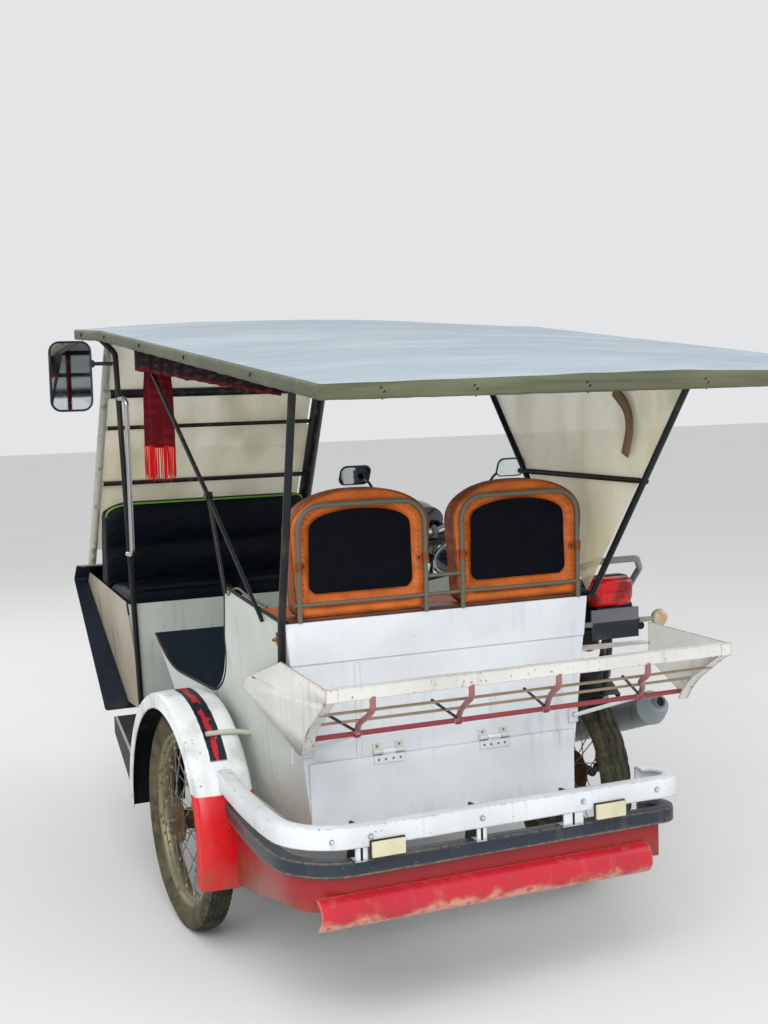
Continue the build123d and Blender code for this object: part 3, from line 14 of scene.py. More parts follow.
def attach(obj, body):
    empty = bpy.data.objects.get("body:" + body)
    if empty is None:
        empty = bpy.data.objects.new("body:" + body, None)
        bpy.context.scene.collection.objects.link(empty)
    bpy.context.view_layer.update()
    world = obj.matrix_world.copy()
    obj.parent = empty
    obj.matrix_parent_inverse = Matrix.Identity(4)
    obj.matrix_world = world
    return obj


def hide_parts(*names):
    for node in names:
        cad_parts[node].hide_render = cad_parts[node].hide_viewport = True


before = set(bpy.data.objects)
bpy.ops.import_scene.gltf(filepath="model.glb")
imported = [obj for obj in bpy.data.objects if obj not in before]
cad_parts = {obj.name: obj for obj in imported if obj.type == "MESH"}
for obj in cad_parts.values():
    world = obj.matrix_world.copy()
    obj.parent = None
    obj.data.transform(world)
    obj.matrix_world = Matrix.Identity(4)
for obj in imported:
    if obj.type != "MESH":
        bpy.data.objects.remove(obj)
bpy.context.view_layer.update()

chance = random.Random(7)

# Measures of the vehicle
MIDDLE_X, MIDDLE_Y = 677, 228
TYRE_RADIUS = 290
AXLE_Z = TYRE_RADIUS
RIM_RADIUS = 227
BIKE_X = 1100
REAR_AXLE_Y = -100
FRONT_AXLE_Y = 1160
TUB_LEFT, TUB_MID = 60, 460
TUB_TOP_Z = 880
REAR_Y = -600
SIDE_LEAN, SIDE_TAPER = 0.11, 0.012
SEAT_MIDS = (TUB_MID - 203, TUB_MID + 214)
HATCH_HINGES = (TUB_MID - 152, TUB_MID + 128)

# Points nearer than this are joined, in metres, and turned bodies close at this radius, in millimetres
SAME_POINT, CORE = 0.00002, 0.01


def at(x, y, z):
    """Point of the frame, in metres, for a place of the layout."""
    return Vector(((x - MIDDLE_X) / 1000, (y - MIDDLE_Y) / 1000, z / 1000))


def tub_left(y, z):
    """Outer face of the tub's left side."""
    return TUB_LEFT + (y - REAR_Y) * SIDE_TAPER + (TUB_TOP_Z - z) * SIDE_LEAN


def tub_right(y):
    """Outer face of the tub's right side at the height of the rack's plates."""
    return 2 * TUB_MID - tub_left(y, 745) + 0.6


def uneven(x, y, z):
    """Smooth unevenness of about -1 to 1 at a place."""
    return noise.noise(Vector((x, y, z)))


def angles(degrees, steps):
    """Angles from 0 to a number of degrees in equal steps."""
    return [math.radians(degrees) * step / steps for step in range(steps + 1)]


def closing_in(i, steps):
    """-1 to 1 in steps that get shorter towards both ends."""
    return math.sin(math.pi / 2 * (2 * i / steps - 1))


def fullness(across, power):
    """1 in the middle and 0 at -1 and 1, with fuller shoulders for a higher power."""
    return max(0, 1 - abs(across) ** power)


def mirrored(half):
    """The other half of an outline that is the same on both sides."""
    return [(-x, other) for x, other in reversed(half)]


# Finishes

def colour(red, green, blue):
    """Paint colour from screen numbers of 0 to 255."""
    channels = [c / 255 for c in (red, green, blue)]
    return tuple(c / 12.92 if c <= 0.04045 else ((c + 0.055) / 1.055) ** 2.4 for c in channels) + (1,)


def darker(shade, share):
    """A screen colour with a share of its light."""
    return [c * share for c in colour(*shade)[:3]] + [1]


class Value:
    """A socket of a finish. Arithmetic on it adds Math nodes."""

    def __init__(self, finish, socket):
        self.finish = finish
        self.socket = socket

    def math(self, operation, first, second):
        """One Math node on two numbers or sockets."""
        return self.finish.node("ShaderNodeMath", {"operation": operation}, {0: first, 1: second})

    def __add__(self, other):
        return self.math("ADD", self, other)

    def __sub__(self, other):
        return self.math("SUBTRACT", self, other)

    def __rsub__(self, other):
        return self.math("SUBTRACT", other, self)

    def __mul__(self, other):
        return self.math("MULTIPLY", self, other)

    __radd__ = __add__
    __rmul__ = __mul__


class Finish:
    """A material of the vehicle, with the patterns that its surfaces share."""

    def __init__(self, name, **constants):
        self.material = bpy.data.materials.new(name)
        self.material.use_nodes = True
        self.tree = self.material.node_tree
        self.surface = self.tree.nodes["Principled BSDF"]
        for socket, value in constants.items():
            self.surface.inputs[socket.replace("_", " ")].default_value = value
        self.place = self.node("ShaderNodeTexCoord", output="Object")

    def node(self, kind, settings=None, inputs=None, output=0):
        """A node of a kind, with its settings made first, then its sockets. Colours are screen numbers."""
        made = self.tree.nodes.new(kind)
        for key, value in (settings or {}).items():
            setattr(made, key, value)
        for key, value in (inputs or {}).items():
            socket = made.inputs[key]
            if isinstance(value, Value):
                self.tree.links.new(value.socket, socket)
            elif socket.type == "RGBA" and len(value) == 3:
                socket.default_value = colour(*value)
            else:
                socket.default_value = value
        return Value(self, made.outputs[output])

    def spread(self, **varying):
        """Feeds the surface's sockets with what changes over it."""
        for socket, value in varying.items():
            self.tree.links.new(value.socket, self.surface.inputs[socket.replace("_", " ")])
        return self.material

    def mix(self, first, second, share):
        """Colour between two, with a share of the second."""
        return self.node("ShaderNodeMix", {"data_type": "RGBA"}, {0: share, 6: first, 7: second}, 2)

    def cloud(self, size, stretch=(1, 1, 1), detail=3, shift=0):
        """Cloudy pattern with patches of about a size in millimetres."""
        place = self.node("ShaderNodeMapping", None, {
            "Vector": self.place,
            "Location": (shift, 1.7 * shift, 0.6 * shift),
            "Scale": [1000 / size * s for s in stretch],
        })
        return self.node("ShaderNodeTexNoise", None, {"Vector": place, "Scale": 1, "Detail": detail})

    def patches(self, size, low, high, *how, **named):
        """Cloudy patches with soft edges, from 0 below a low limit of the cloud to 1 above a high one."""
        return self.band(self.cloud(size, *how, **named), low, high)

    def grain(self, size):
        """Fine pebbled grain of about a size in millimetres."""
        place = self.node("ShaderNodeMapping", None, {"Vector": self.place, "Scale": [1000 / size] * 3})
        return self.node("ShaderNodeTexVoronoi", {"feature": "SMOOTH_F1"}, {"Vector": place, "Scale": 1})

    def waves(self, size, direction, distortion=0):
        """Even ridges of about a size in millimetres across a direction."""
        return self.node("ShaderNodeTexWave", {"bands_direction": direction},
                         {"Vector": self.place, "Scale": 1000 / size * math.pi / 20,
                          "Distortion": distortion})

    def band(self, value, low, high):
        """0 below a low limit and 1 above a high one, smooth between them."""
        return self.node("ShaderNodeMapRange", {"interpolation_type": "SMOOTHSTEP"},
                         {0: value, 1: low, 2: high, 3: 0, 4: 1})

    def along(self, axis):
        """Place of the layout along an axis, in millimetres."""
        split = self.node("ShaderNodeSeparateXYZ", None, {0: self.place}, axis)
        return split * 1000 + {"X": MIDDLE_X, "Y": MIDDLE_Y, "Z": 0}[axis]

    def rims(self, width):
        """About 0 on a flat face, rising within a width in millimetres of its edges."""
        rounded = self.node("ShaderNodeBevel", {"samples": 4}, {"Radius": width / 1000})
        straight = self.node("ShaderNodeNewGeometry", output="Normal")
        return 1 - self.node("ShaderNodeVectorMath", {"operation": "DOT_PRODUCT"},
                             {0: rounded, 1: straight}, "Value")

    def relief(self, height, depth):
        """Normal of a height pattern, with its depth in millimetres."""
        return self.node("ShaderNodeBump", None,
                         {"Height": height, "Distance": depth / 1000, "Strength": 1})


def painted(name, coat, under, rust=(92, 56, 34), gloss=0.3, chips=0.5, grime=0.35, foot_band=None,
            dust=(150, 135, 110), edge=4, dents=3, flakes=0.0, **constants):
    """Brushed-on gloss paint on steel: chipped edges, rain streaks, dents and a patchy band of another
    colour near the ground.
    """
    skin = Finish(name, **constants)
    shade = skin.mix(coat, darker(coat, 0.86), skin.patches(240, 0.35, 0.7))
    streaks = skin.patches(26, 0.5, 0.78, (1, 1, 0.1), 5) * skin.patches(180, 0.4, 0.62, shift=3)
    shade = skin.mix(shade, darker(dust, 0.5), streaks * grime)
    if foot_band:
        low, high = foot_band
        near_ground = (1 - skin.band(skin.along("Z") + skin.cloud(60) * 90 - 45, low, high)) * 0.75
        shade = skin.mix(shade, dust, near_ground * skin.patches(18, 0.25, 0.6, detail=5))
    worn = skin.rims(edge) * 1.6 + skin.cloud(14, detail=6) * 0.62 + skin.cloud(110, shift=5) * 0.3
    bare = skin.band(worn, 1.0 - 0.38 * chips, 1.03 - 0.38 * chips)
    fleck = 0.76 - 0.06 * chips - 0.1 * flakes
    specks = skin.band(skin.cloud(7, detail=4, shift=9) + skin.cloud(160, shift=6) * 0.2 - 0.1, fleck,
                       fleck + 0.02)
    chip = skin.mix(under, rust, skin.patches(9, 0.45, 0.6, shift=2))
    shade = skin.mix(shade, chip, bare)
    shade = skin.mix(shade, rust, specks * 0.8)
    height = skin.cloud(120, detail=1) * dents - bare * 0.35 + skin.cloud(2.5) * 0.08
    return skin.spread(
        Base_Color=shade,
        Roughness=skin.band(bare + streaks * 0.5, 0, 1) * 0.4 + gloss + skin.cloud(40) * 0.12,
        Normal=skin.relief(height, 1.0),
    )


def bare_metal(name, base, spots, rough=0.35, spotting=0.5, metallic=1.0, grain=4, brushed=(1, 1, 1)):
    """Steel, chrome, brass or cast alloy with dull spots and a fine grain."""
    skin = Finish(name)
    spot = skin.band(skin.cloud(16, detail=6) + skin.cloud(90, shift=4) * 0.35, 0.92 - 0.4 * spotting,
                     0.98 - 0.3 * spotting)
    shade = skin.mix(base, darker(base, 0.8), skin.cloud(grain, brushed))
    return skin.spread(
        Base_Color=skin.mix(shade, spots, spot),
        Metallic=metallic - spot * 0.85 * metallic,
        Roughness=spot * 0.5 + rough + skin.cloud(30) * 0.1,
        Normal=skin.relief(skin.cloud(grain, brushed, detail=5) * 0.25 + spot * 0.2, 0.4),
    )


def vinyl(name, base, worn, rough=0.38, creases=1.0, **constants):
    """Coated upholstery cloth: fine grain, soft creases, and another shade in patches and near edges:
    rubbing wear, and on the black bench vinyl a painted teal sheen.
    """
    skin = Finish(name, **constants)
    grain = skin.grain(1.7)
    folds = skin.cloud(55, (1, 1, 2.2), 4)
    # Rubbed places: wear near edges and in patches; on the black bench vinyl their pale teal is a painted
    # sheen.
    rubbed = skin.band(skin.cloud(38, detail=6) + skin.rims(8) * 0.5, 0.62, 0.86)
    shade = skin.mix(base, darker(base, 0.7), skin.band(folds, 0.35, 0.7))
    return skin.spread(
        Base_Color=skin.mix(shade, worn, rubbed * 0.7),
        Roughness=skin.cloud(24) * 0.2 + rough,
        Normal=skin.relief(folds * 5 * creases - grain * 0.18, 1.0),
    )


def plastic(name, base, dusty, rough=0.4, **constants):
    """Moulded plastic with a fine texture and settled dust."""
    skin = Finish(name, **constants)
    dust = skin.patches(70, 0.42, 0.8, detail=5)
    return skin.spread(
        Base_Color=skin.mix(base, dusty, dust * 0.5),
        Roughness=dust * 0.25 + rough,
        Normal=skin.relief(skin.cloud(1.2, detail=2) * 0.12 + skin.cloud(60) * 0.4, 0.6),
    )


def tyre_rubber(name, bare, dusty):
    """Matt rubber with dust in its hollows."""
    skin = Finish(name, Specular_IOR_Level=0.25)
    dust = skin.band(skin.cloud(45, detail=6) + skin.cloud(9, shift=2) * 0.4, 0.5, 0.95)
    fine = skin.cloud(3, detail=5)
    return skin.spread(Base_Color=skin.mix(bare, dusty, dust * 0.75 + fine * 0.25),
                       Roughness=dust * 0.15 + 0.75, Normal=skin.relief(fine * 0.5, 0.6))


def tarpaulin(name, base, faded, streak):
    """Coated roof cloth: a faint square weave, long fine streaks and paler patches."""
    skin = Finish(name)
    weave = skin.waves(2.4, "X") * 0.5 + skin.waves(2.4, "Y") * 0.5
    streaks = skin.patches(11, 0.45, 0.75, (0.045, 1, 1), 5)
    patches = skin.patches(260, 0.4, 0.7, (0.5, 1, 1))
    shade = skin.mix(base, faded, patches)
    return skin.spread(
        Base_Color=skin.mix(shade, streak, streaks * 0.6),
        Roughness=skin.cloud(70) * 0.2 + 0.5,
        Normal=skin.relief(skin.cloud(90, (0.4, 1, 1), 4) * 6 + weave * 0.12, 1.0),
    )


def woven(name, ground, thread, size=7):
    """Hand-woven cloth: threads both ways and narrow bands of a second yarn."""
    skin = Finish(name, Specular_IOR_Level=0.1)
    threads = skin.waves(2.2, "Y") * 0.5 + skin.waves(2.2, "Z") * 0.5
    bands = skin.band(skin.waves(size * 3, "DIAGONAL", 2.5) * skin.waves(size, "Z", 1.2), 0.42, 0.6)
    return skin.spread(
        Base_Color=skin.mix(skin.mix(ground, thread, bands * 0.55), darker(ground, 0.5), threads * 0.3),
        Roughness=threads * 0.1 + 0.85,
        Normal=skin.relief(threads * 0.5 + skin.cloud(50) * 3, 1.0),
    )


def hazy_sheet():
    """Scratched clear plastic, yellowed and dusty, denser in smears and scratches."""
    skin = Finish("hazy_sheet", IOR=1.45)
    smears = skin.patches(150, 0.35, 0.75, (1, 1, 0.3), 4)
    scratches = skin.patches(5, 0.62, 0.8, (1, 1, 0.06), 5)
    shade = skin.mix((246, 240, 208), (216, 206, 160), smears)
    return skin.spread(Base_Color=shade, Roughness=smears * 0.2 + 0.22,
                       Alpha=smears * 0.2 + scratches * 0.12 + 0.46,
                       Normal=skin.relief(skin.cloud(80) * 4, 1.0))


def lens(name, base, deep, strength=0.0, size=60):
    """Faintly ribbed coloured lens over a reflector, brighter where the reflector shows."""
    skin = Finish(name, Coat_Weight=0.35, Emission_Strength=strength, Specular_IOR_Level=0.3)
    ribs = skin.waves(7, "X") * 0.3
    glow = skin.mix(deep, base, skin.band(skin.cloud(size, detail=1), 0.42, 0.62))
    return skin.spread(Base_Color=glow, Emission_Color=glow, Roughness=ribs * 0.08 + 0.1,
                       Normal=skin.relief(ribs * 0.5, 1.0))


def mirror_glass():
    """Silvered glass with a film of dust."""
    skin = Finish("mirror_glass", Metallic=1.0)
    dust = skin.patches(60, 0.5, 0.9, detail=6)
    return skin.spread(Base_Color=skin.mix((214, 220, 222), (170, 168, 158), dust),
                       Roughness=dust * 0.12 + 0.03)


def varnished_wood():
    """Dark varnished board with a long grain and paler rubbed places."""
    skin = Finish("varnished_wood")
    grain = skin.cloud(7, (0.05, 1, 1), 6)
    shade = skin.mix((104, 52, 34), (58, 28, 20), skin.band(grain, 0.35, 0.7))
    worn = skin.patches(40, 0.55, 0.7, (0.3, 1, 1), 5)
    return skin.spread(Base_Color=skin.mix(shade, (152, 96, 66), worn * 0.6), Roughness=worn * 0.3 + 0.4,
                       Normal=skin.relief(grain * 0.4, 0.8))


def fender_paint():
    """White fender with a black band over its crown that shows red below, and a red tail under the rail."""
    skin = Finish("fender_paint")
    y, z, x = skin.along("Y"), skin.along("Z"), skin.along("X")
    wavy = skin.cloud(20) * 8 - 4
    white = skin.mix((228, 230, 230), (186, 192, 188), skin.patches(90, 0.4, 0.75))
    tail = (1 - skin.band(z + wavy * 0.3, 428, 431)) * (1 - skin.band(y, -120, -110))
    crown = skin.band(x + wavy * 0.5, -22, -20) * (1 - skin.band(x + wavy * 0.5, 22, 24))
    band = crown * (1 - skin.band(y + wavy, 40, 44)) * skin.band(z, 500, 506) * (1 - skin.band(y, 60, 70))
    middle = skin.band(x, -20, -3) * (1 - skin.band(x, 3, 20))
    red_wear = skin.band(skin.cloud(18, (1, 0.3, 0.3), 8) + middle * 0.3 + skin.band(z, 570, 640) * 0.08,
                         0.76, 0.8)
    shade = skin.mix(white, skin.mix((20, 22, 40), (178, 26, 40), red_wear), band)
    shade = skin.mix(shade, (206, 14, 22), tail)
    chips = skin.band(skin.rims(4) * 1.5 + skin.cloud(8, detail=5) * 0.8 + skin.cloud(120) * 0.2, 0.645,
                      0.67)
    shade = skin.mix(shade, skin.mix((60, 44, 34), (120, 122, 120), skin.cloud(14)), chips * 0.85)
    mud = (1 - skin.band(z + skin.cloud(30) * 80, 235, 330)) * skin.patches(22, 0.35, 0.6, detail=5)
    shade = skin.mix(shade, (120, 84, 60), mud * 0.7)
    return skin.spread(Base_Color=shade, Roughness=mud * 0.4 + chips * 0.3 + skin.cloud(40) * 0.15 + 0.25,
                       Normal=skin.relief(skin.cloud(70) * 1.2 - chips * 0.3, 1.0))


def shield_paint():
    """Black frame of the windshield; its left post is painted a pale grey."""
    skin = Finish("shield_paint")
    wear = skin.patches(24, 0.56, 0.66, (1, 1, 0.4), 5)
    post = 1 - skin.band(skin.along("X"), 106, 108)
    shade = skin.mix((22, 24, 27), (176, 176, 164), post)
    return skin.spread(Base_Color=skin.mix(shade, (84, 74, 62), wear * 0.7), Roughness=wear * 0.3 + 0.34,
                       Normal=skin.relief(skin.cloud(60) * 0.6 - wear * 0.2, 1.0))


def plate_holder():
    """Grey plastic under the tail lamp that turns to near black below the cover and on the mudguard."""
    skin = Finish("plate_holder", Specular_IOR_Level=0.35)
    cover = skin.band(skin.along("Z"), 764, 766) * (1 - skin.band(skin.along("Y"), -306, -304))
    dust = skin.patches(70, 0.42, 0.8, detail=5)
    shade = skin.mix(skin.mix((24, 30, 38), (110, 110, 116), cover), (112, 108, 100), dust * 0.4)
    return skin.spread(Base_Color=shade, Roughness=dust * 0.25 + 0.42,
                       Normal=skin.relief(skin.cloud(60) * 0.4, 0.6))


# Forms

class Form:
    """Points and faces of one piece, in layout millimetres. Each face has the number of its finish."""

    def __init__(self):
        self.points = []
        self.faces = []
        self.finishes = []

    def add(self, points, faces, finish=0):
        """Adds points, and faces between them."""
        first = len(self.points)
        self.points += [tuple(p) for p in points]
        self.faces += [[first + i for i in face] for face in faces]
        self.finishes += [finish] * len(faces)
        return self

    def skin(self, rows, finish=0, around=False, loop=False, caps=False):
        """Faces between rows of points: around joins each row's ends, loop the last row and the first."""
        count = len(rows[0])
        faces = []
        for row in range(len(rows) - (not loop)):
            after = (row + 1) % len(rows)
            for i in range(count - (not around)):
                j = (i + 1) % count
                faces.append((row * count + i, row * count + j, after * count + j, after * count + i))
        if caps:
            faces.append(tuple(range(count))[::-1])
            faces.append(tuple((len(rows) - 1) * count + i for i in range(count)))
        return self.add([p for row in rows for p in row], faces, finish)

    def solid(self, rows, finish=0):
        """Closed body round rows of points, with both ends capped."""
        return self.skin(rows, finish, around=True, caps=True)

    def tube(self, path, radius, finish=0, sides=12, loop=False):
        """Round bar along a path. The radius is one number, or one for each point."""
        radii = radius if isinstance(radius, (list, tuple)) else [radius] * len(path)
        return self.skin(rings(path, radii, sides, loop), finish, around=True, loop=loop, caps=not loop)

    def slab(self, outline, push, finish=0):
        """Flat plate: an outline of points, pushed out by a vector."""
        count = len(outline)
        far = [Vector(p) + Vector(push) for p in outline]
        faces = [tuple(range(count))[::-1], tuple(range(count, 2 * count))]
        faces += [(i, (i + 1) % count, (i + 1) % count + count, i + count) for i in range(count)]
        return self.add([Vector(p) for p in outline] + far, faces, finish)

    def box(self, x0, x1, y0, y1, z0, z1, finish=0):
        """Block between three pairs of limits."""
        return self.slab([(x0, y0, z0), (x1, y0, z0), (x1, y1, z0), (x0, y1, z0)], (0, 0, z1 - z0), finish)

    def turned(self, profile, centre, axis, finish=0, steps=32, closed=True):
        """A profile of (along, radius) turned about an axis through a centre."""
        axis = Vector(axis).normalized()
        first = axis.orthogonal().normalized() if abs(axis.x) < 0.9 else Vector((0, 1, 0))
        second = axis.cross(first).normalized()
        rows = []
        for step in range(steps):
            angle = math.radians(360 * step / steps)
            out = first * math.cos(angle) + second * math.sin(angle)
            rows.append([Vector(centre) + axis * along + out * radius for along, radius in profile])
        return self.skin(rows, finish, around=closed, loop=True)

    def plug(self, profile, centre, axis, finish=0, steps=24):
        """Solid turned body: a profile of (along, radius) that is filled to its middle."""
        filled = [(profile[0][0], CORE)] + profile + [(profile[-1][0], CORE)]
        return self.turned(filled, centre, axis, finish, steps)

    def bolt(self, centre, axis, size, finish=0):
        """Hexagon bolt head on a washer."""
        axis = Vector(axis).normalized()
        washer = size * 0.2
        self.plug([(0, size * 1.1), (washer, size * 1.1)], centre, axis, finish, 16)
        return self.plug([(0, size * 0.8), (size * 0.6, size * 0.8), (size * 0.7, size * 0.6)],
                         Vector(centre) + axis * washer, axis, finish, 6)

    def screw(self, centre, radius, crown, height):
        """Low round screw head that faces the rear."""
        return self.turned([(0, CORE), (0, radius), (height - 0.5, crown), (height, CORE)], centre,
                           (0, -1, 0), 0, 12)


def rings(path, radii, sides, loop=False):
    """Rows of points round a path, turned as little as the path allows."""
    path = [Vector(p) for p in path]
    count = len(path)
    rows = []
    normal = None
    for i, point in enumerate(path):
        before = path[i - 1] if i or loop else point
        after = path[(i + 1) % count] if i < count - 1 or loop else point
        forward = (after - before).normalized()
        if normal is None:
            normal = forward.orthogonal().normalized()
        normal = (normal - forward * normal.dot(forward)).normalized()
        other = forward.cross(normal)
        rows.append([point + (normal * math.cos(a) + other * math.sin(a)) * radii[i]
                     for a in angles(360, sides)[:-1]])
    return rows


def bent(points, radius, steps=6):
    """Path through points, with its corners rounded."""
    points = [Vector(p) for p in points]
    path = [points[0]]
    for before, corner, after in zip(points, points[1:], points[2:]):
        back, ahead = (before - corner), (after - corner)
        reach = min(radius, back.length * 0.48, ahead.length * 0.48)
        start, end = corner + back.normalized() * reach, corner + ahead.normalized() * reach
        for step in range(steps + 1):
            t = step / steps
            path.append(start * (1 - t) ** 2 + corner * 2 * t * (1 - t) + end * t ** 2)
    path.append(points[-1])
    return path


def curve(points, steps=8):
    """Smooth path through points."""
    points = [Vector(p) for p in points]
    path = []
    for i in range(len(points) - 1):
        a = points[max(i - 1, 0)]
        b, c = points[i], points[i + 1]
        d = points[min(i + 2, len(points) - 1)]
        for step in range(steps):
            t = step / steps
            path.append(0.5 * (2 * b + (c - a) * t + (2 * a - 5 * b + 4 * c - d) * t * t
                               + (3 * b - a - 3 * c + d) * t ** 3))
    return path + [points[-1]]


def evenly(points, count):
    """The same line or closed outline with points at even distances."""
    points = [Vector(p) for p in points]
    runs = [(b - a).length for a, b in zip(points, points[1:])]
    total = sum(runs)
    found = []
    for i in range(count):
        left = total * i / (count - 1)
        for run, a, b in zip(runs, points, points[1:]):
            if left <= run or b is points[-1]:
                found.append(a.lerp(b, min(1, left / run if run else 0)))
                break
            left -= run
    return found


def place_piece(form, name, finishes, replaces="", body="trike", rounding=0, smooth=40, thickness=0):
    """Makes the form a piece of the vehicle that moves with a body."""
    mesh = bpy.data.meshes.new(name)
    mesh.from_pydata([at(*p) for p in form.points], [], form.faces)
    for finish in finishes:
        mesh.materials.append(finish)
    mesh.polygons.foreach_set("material_index", form.finishes)
    work = bmesh.new()
    work.from_mesh(mesh)
    bmesh.ops.remove_doubles(work, verts=work.verts, dist=SAME_POINT)
    bmesh.ops.recalc_face_normals(work, faces=work.faces)
    work.to_mesh(mesh)
    work.free()
    mesh.shade_smooth()
    made = bpy.data.objects.new(name, mesh)
    bpy.context.scene.collection.objects.link(made)
    if thickness:
        sheet = made.modifiers.new("thickness", "SOLIDIFY")
        sheet.thickness = thickness / 1000
        sheet.offset = 0
    if rounding:
        round_edges(made, rounding)
    else:
        mesh.set_sharp_from_angle(angle=math.radians(smooth))
    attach(made, body)
    if replaces:
        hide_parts(replaces)
    return made


def round_edges(made, width):
    """Small rounding on every sharp edge, in millimetres."""
    bevel = made.modifiers.new("round_edges", "BEVEL")
    bevel.width = width / 1000
    bevel.segments = 2
    bevel.limit_method = "ANGLE"
    bevel.angle_limit = math.radians(32)
    bevel.use_clamp_overlap = True
    made.modifiers.new("even_shading", "WEIGHTED_NORMAL").keep_sharp = True


def dress(node, finish, rounding=0):
    """Gives a CAD node its finish and, where wanted, rounded edges."""
    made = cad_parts[node]
    made.data.materials.clear()
    made.data.materials.append(finish)
    if rounding:
        made.modifiers.new("joined_points", "WELD").merge_threshold = SAME_POINT
        round_edges(made, rounding)


# Paints and materials of this vehicle
# Towards the bottom the tub's panels turn a darker grey olive, in patches.
tub_paint = painted("tub_paint", (196, 203, 196), (150, 160, 158), chips=0.42, grime=0.5,
                    foot_band=(340, 500), dust=(158, 152, 134), dents=5)
white_paint = painted("white_paint", (222, 226, 229), (168, 46, 52), rust=(104, 92, 86), chips=0.62,
                      grime=0.35, edge=5)
board_paint = painted("board_paint", (226, 231, 235), (120, 126, 130), chips=0.3, grime=0.4, dents=6,
                      foot_band=(360, 450), dust=(188, 188, 182))
rail_paint = painted("rail_paint", (218, 223, 226), (96, 112, 128), rust=(70, 58, 50), chips=0.78,
                     grime=0.4, edge=7, flakes=0.25)
# The lower rail turns pale in a strip along its edges and in flakes.
blue_grey_paint = painted("blue_grey_paint", (28, 38, 52), (150, 138, 116), rust=(110, 96, 78),
                          chips=0.85, grime=0.5, edge=9, flakes=0.35)
red_paint = painted("red_paint", (152, 18, 26), (104, 32, 28), rust=(96, 70, 50), chips=0.45,
                    foot_band=(274, 346), dust=(118, 84, 56), grime=0.45, flakes=0.4)
step_paint = painted("step_paint", (190, 34, 50), (178, 138, 108), rust=(150, 112, 86), chips=0.7,
                     grime=0.3, gloss=0.2, edge=8, foot_band=(268, 296), dust=(210, 172, 142))
rack_red = painted("rack_red", (152, 58, 66), (200, 176, 170), chips=0.95, grime=0.4)
rack_faded = painted("rack_faded", (156, 98, 96), (206, 188, 178), chips=1.0, grime=0.5)
stay_paint = painted("stay_paint", (186, 186, 170), (120, 104, 84), chips=0.7, grime=0.5)
tan_steel = painted("tan_steel", (158, 138, 110), (214, 204, 190), chips=0.8, gloss=0.45)
navy_paint = painted("navy_paint", (20, 32, 45), (86, 96, 100), chips=0.45, grime=0.55,
                     foot_band=(200, 420), dust=(92, 90, 84), Specular_IOR_Level=0.35)
black_paint = painted("black_paint", (16, 18, 21), (74, 62, 50), chips=0.5, grime=0.3,
                      Specular_IOR_Level=0.3)
olive_steel = painted("olive_steel", (98, 96, 82), (60, 50, 40), chips=0.6, gloss=0.4)
bike_paint = painted("bike_paint", (18, 26, 52), (40, 46, 60), chips=0.15, gloss=0.14, grime=0.2, dents=0.4,
                     Coat_Weight=0.6)
muffler_paint = painted("muffler_paint", (150, 159, 164), (74, 72, 68), chips=0.5, gloss=0.42, grime=0.6,
                        dents=1)
steel = bare_metal("steel", (150, 148, 142), (104, 74, 50), 0.42)
chrome = bare_metal("chrome", (205, 208, 210), (130, 112, 90), 0.12, 0.22)
stainless = bare_metal("stainless", (190, 192, 190), (128, 120, 108), 0.2, 0.2, brushed=(1, 1, 0.1))
rusty_rim = bare_metal("rusty_rim", (140, 135, 108), (100, 84, 56), 0.42, 0.5, 0.6)
hub_brown = bare_metal("hub_brown", (104, 86, 56), (74, 52, 32), 0.65, 0.9, 0.4)
rust = bare_metal("rust", (120, 74, 44), (72, 42, 26), 0.8, 0.8, 0.2)
brass = bare_metal("brass", (186, 148, 84), (112, 82, 46), 0.4, 0.5)
cast_grey = bare_metal("cast_grey", (128, 128, 126), (60, 56, 50), 0.55, 0.6, 0.7)
vinyl_orange = vinyl("vinyl_orange", (206, 104, 34), (170, 82, 30), Specular_IOR_Level=0.35)
vinyl_brown = vinyl("vinyl_brown", (132, 66, 24), (188, 108, 50), 0.42, 1.6, Specular_IOR_Level=0.35)
# The black vinyl's second colour, a pale teal, is a painted sheen on the bench's edges and in patches.
vinyl_black = vinyl("vinyl_black", (5, 12, 21), (16, 32, 46), 0.3, Specular_IOR_Level=0.15)
vinyl_panel = vinyl("vinyl_panel", (6, 9, 18), (16, 20, 30), 0.6, 0.6, Specular_IOR_Level=0.1)
vinyl_green = vinyl("vinyl_green", (116, 168, 42), (146, 190, 80), 0.4)
bike_vinyl = vinyl("bike_vinyl", (20, 20, 22), (52, 50, 48), 0.5, Specular_IOR_Level=0.3)
roof_cloth = tarpaulin("roof_cloth", (158, 172, 181), (176, 188, 194), (132, 146, 155))
hem_cloth = tarpaulin("hem_cloth", (80, 84, 62), (98, 101, 75), (52, 55, 40))
pelmet_cloth = woven("pelmet_cloth", (28, 10, 16), (76, 52, 54), 9)
scarf_cloth = woven("scarf_cloth", (84, 8, 18), (112, 22, 30), 14)
fringe_yarn = woven("fringe_yarn", (190, 10, 20), (206, 34, 40), 5)
rubber = tyre_rubber("tyre_side", (50, 48, 36), (108, 101, 76))
tread_rubber = tyre_rubber("tyre_tread", (28, 29, 27), (78, 75, 60))
black_plastic = plastic("black_plastic", (26, 27, 30), (96, 93, 86), Specular_IOR_Level=0.35)
grip_rubber = plastic("grip_rubber", (22, 22, 23), (78, 76, 70), 0.7, Specular_IOR_Level=0.3)
cream_plastic = plastic("cream_plastic", (206, 202, 170), (168, 158, 128), 0.3)
trim_rubber = plastic("trim_rubber", (30, 28, 26), (84, 76, 62), 0.7, Specular_IOR_Level=0.3)
brown_tape = plastic("brown_tape", (112, 82, 46), (150, 124, 84), 0.35)
clear_sheet = hazy_sheet()
red_lens = lens("red_lens", (214, 6, 10), (138, 4, 8), 0.05)
amber_lens = lens("amber_lens", (206, 194, 168), (186, 146, 96), 0.02)
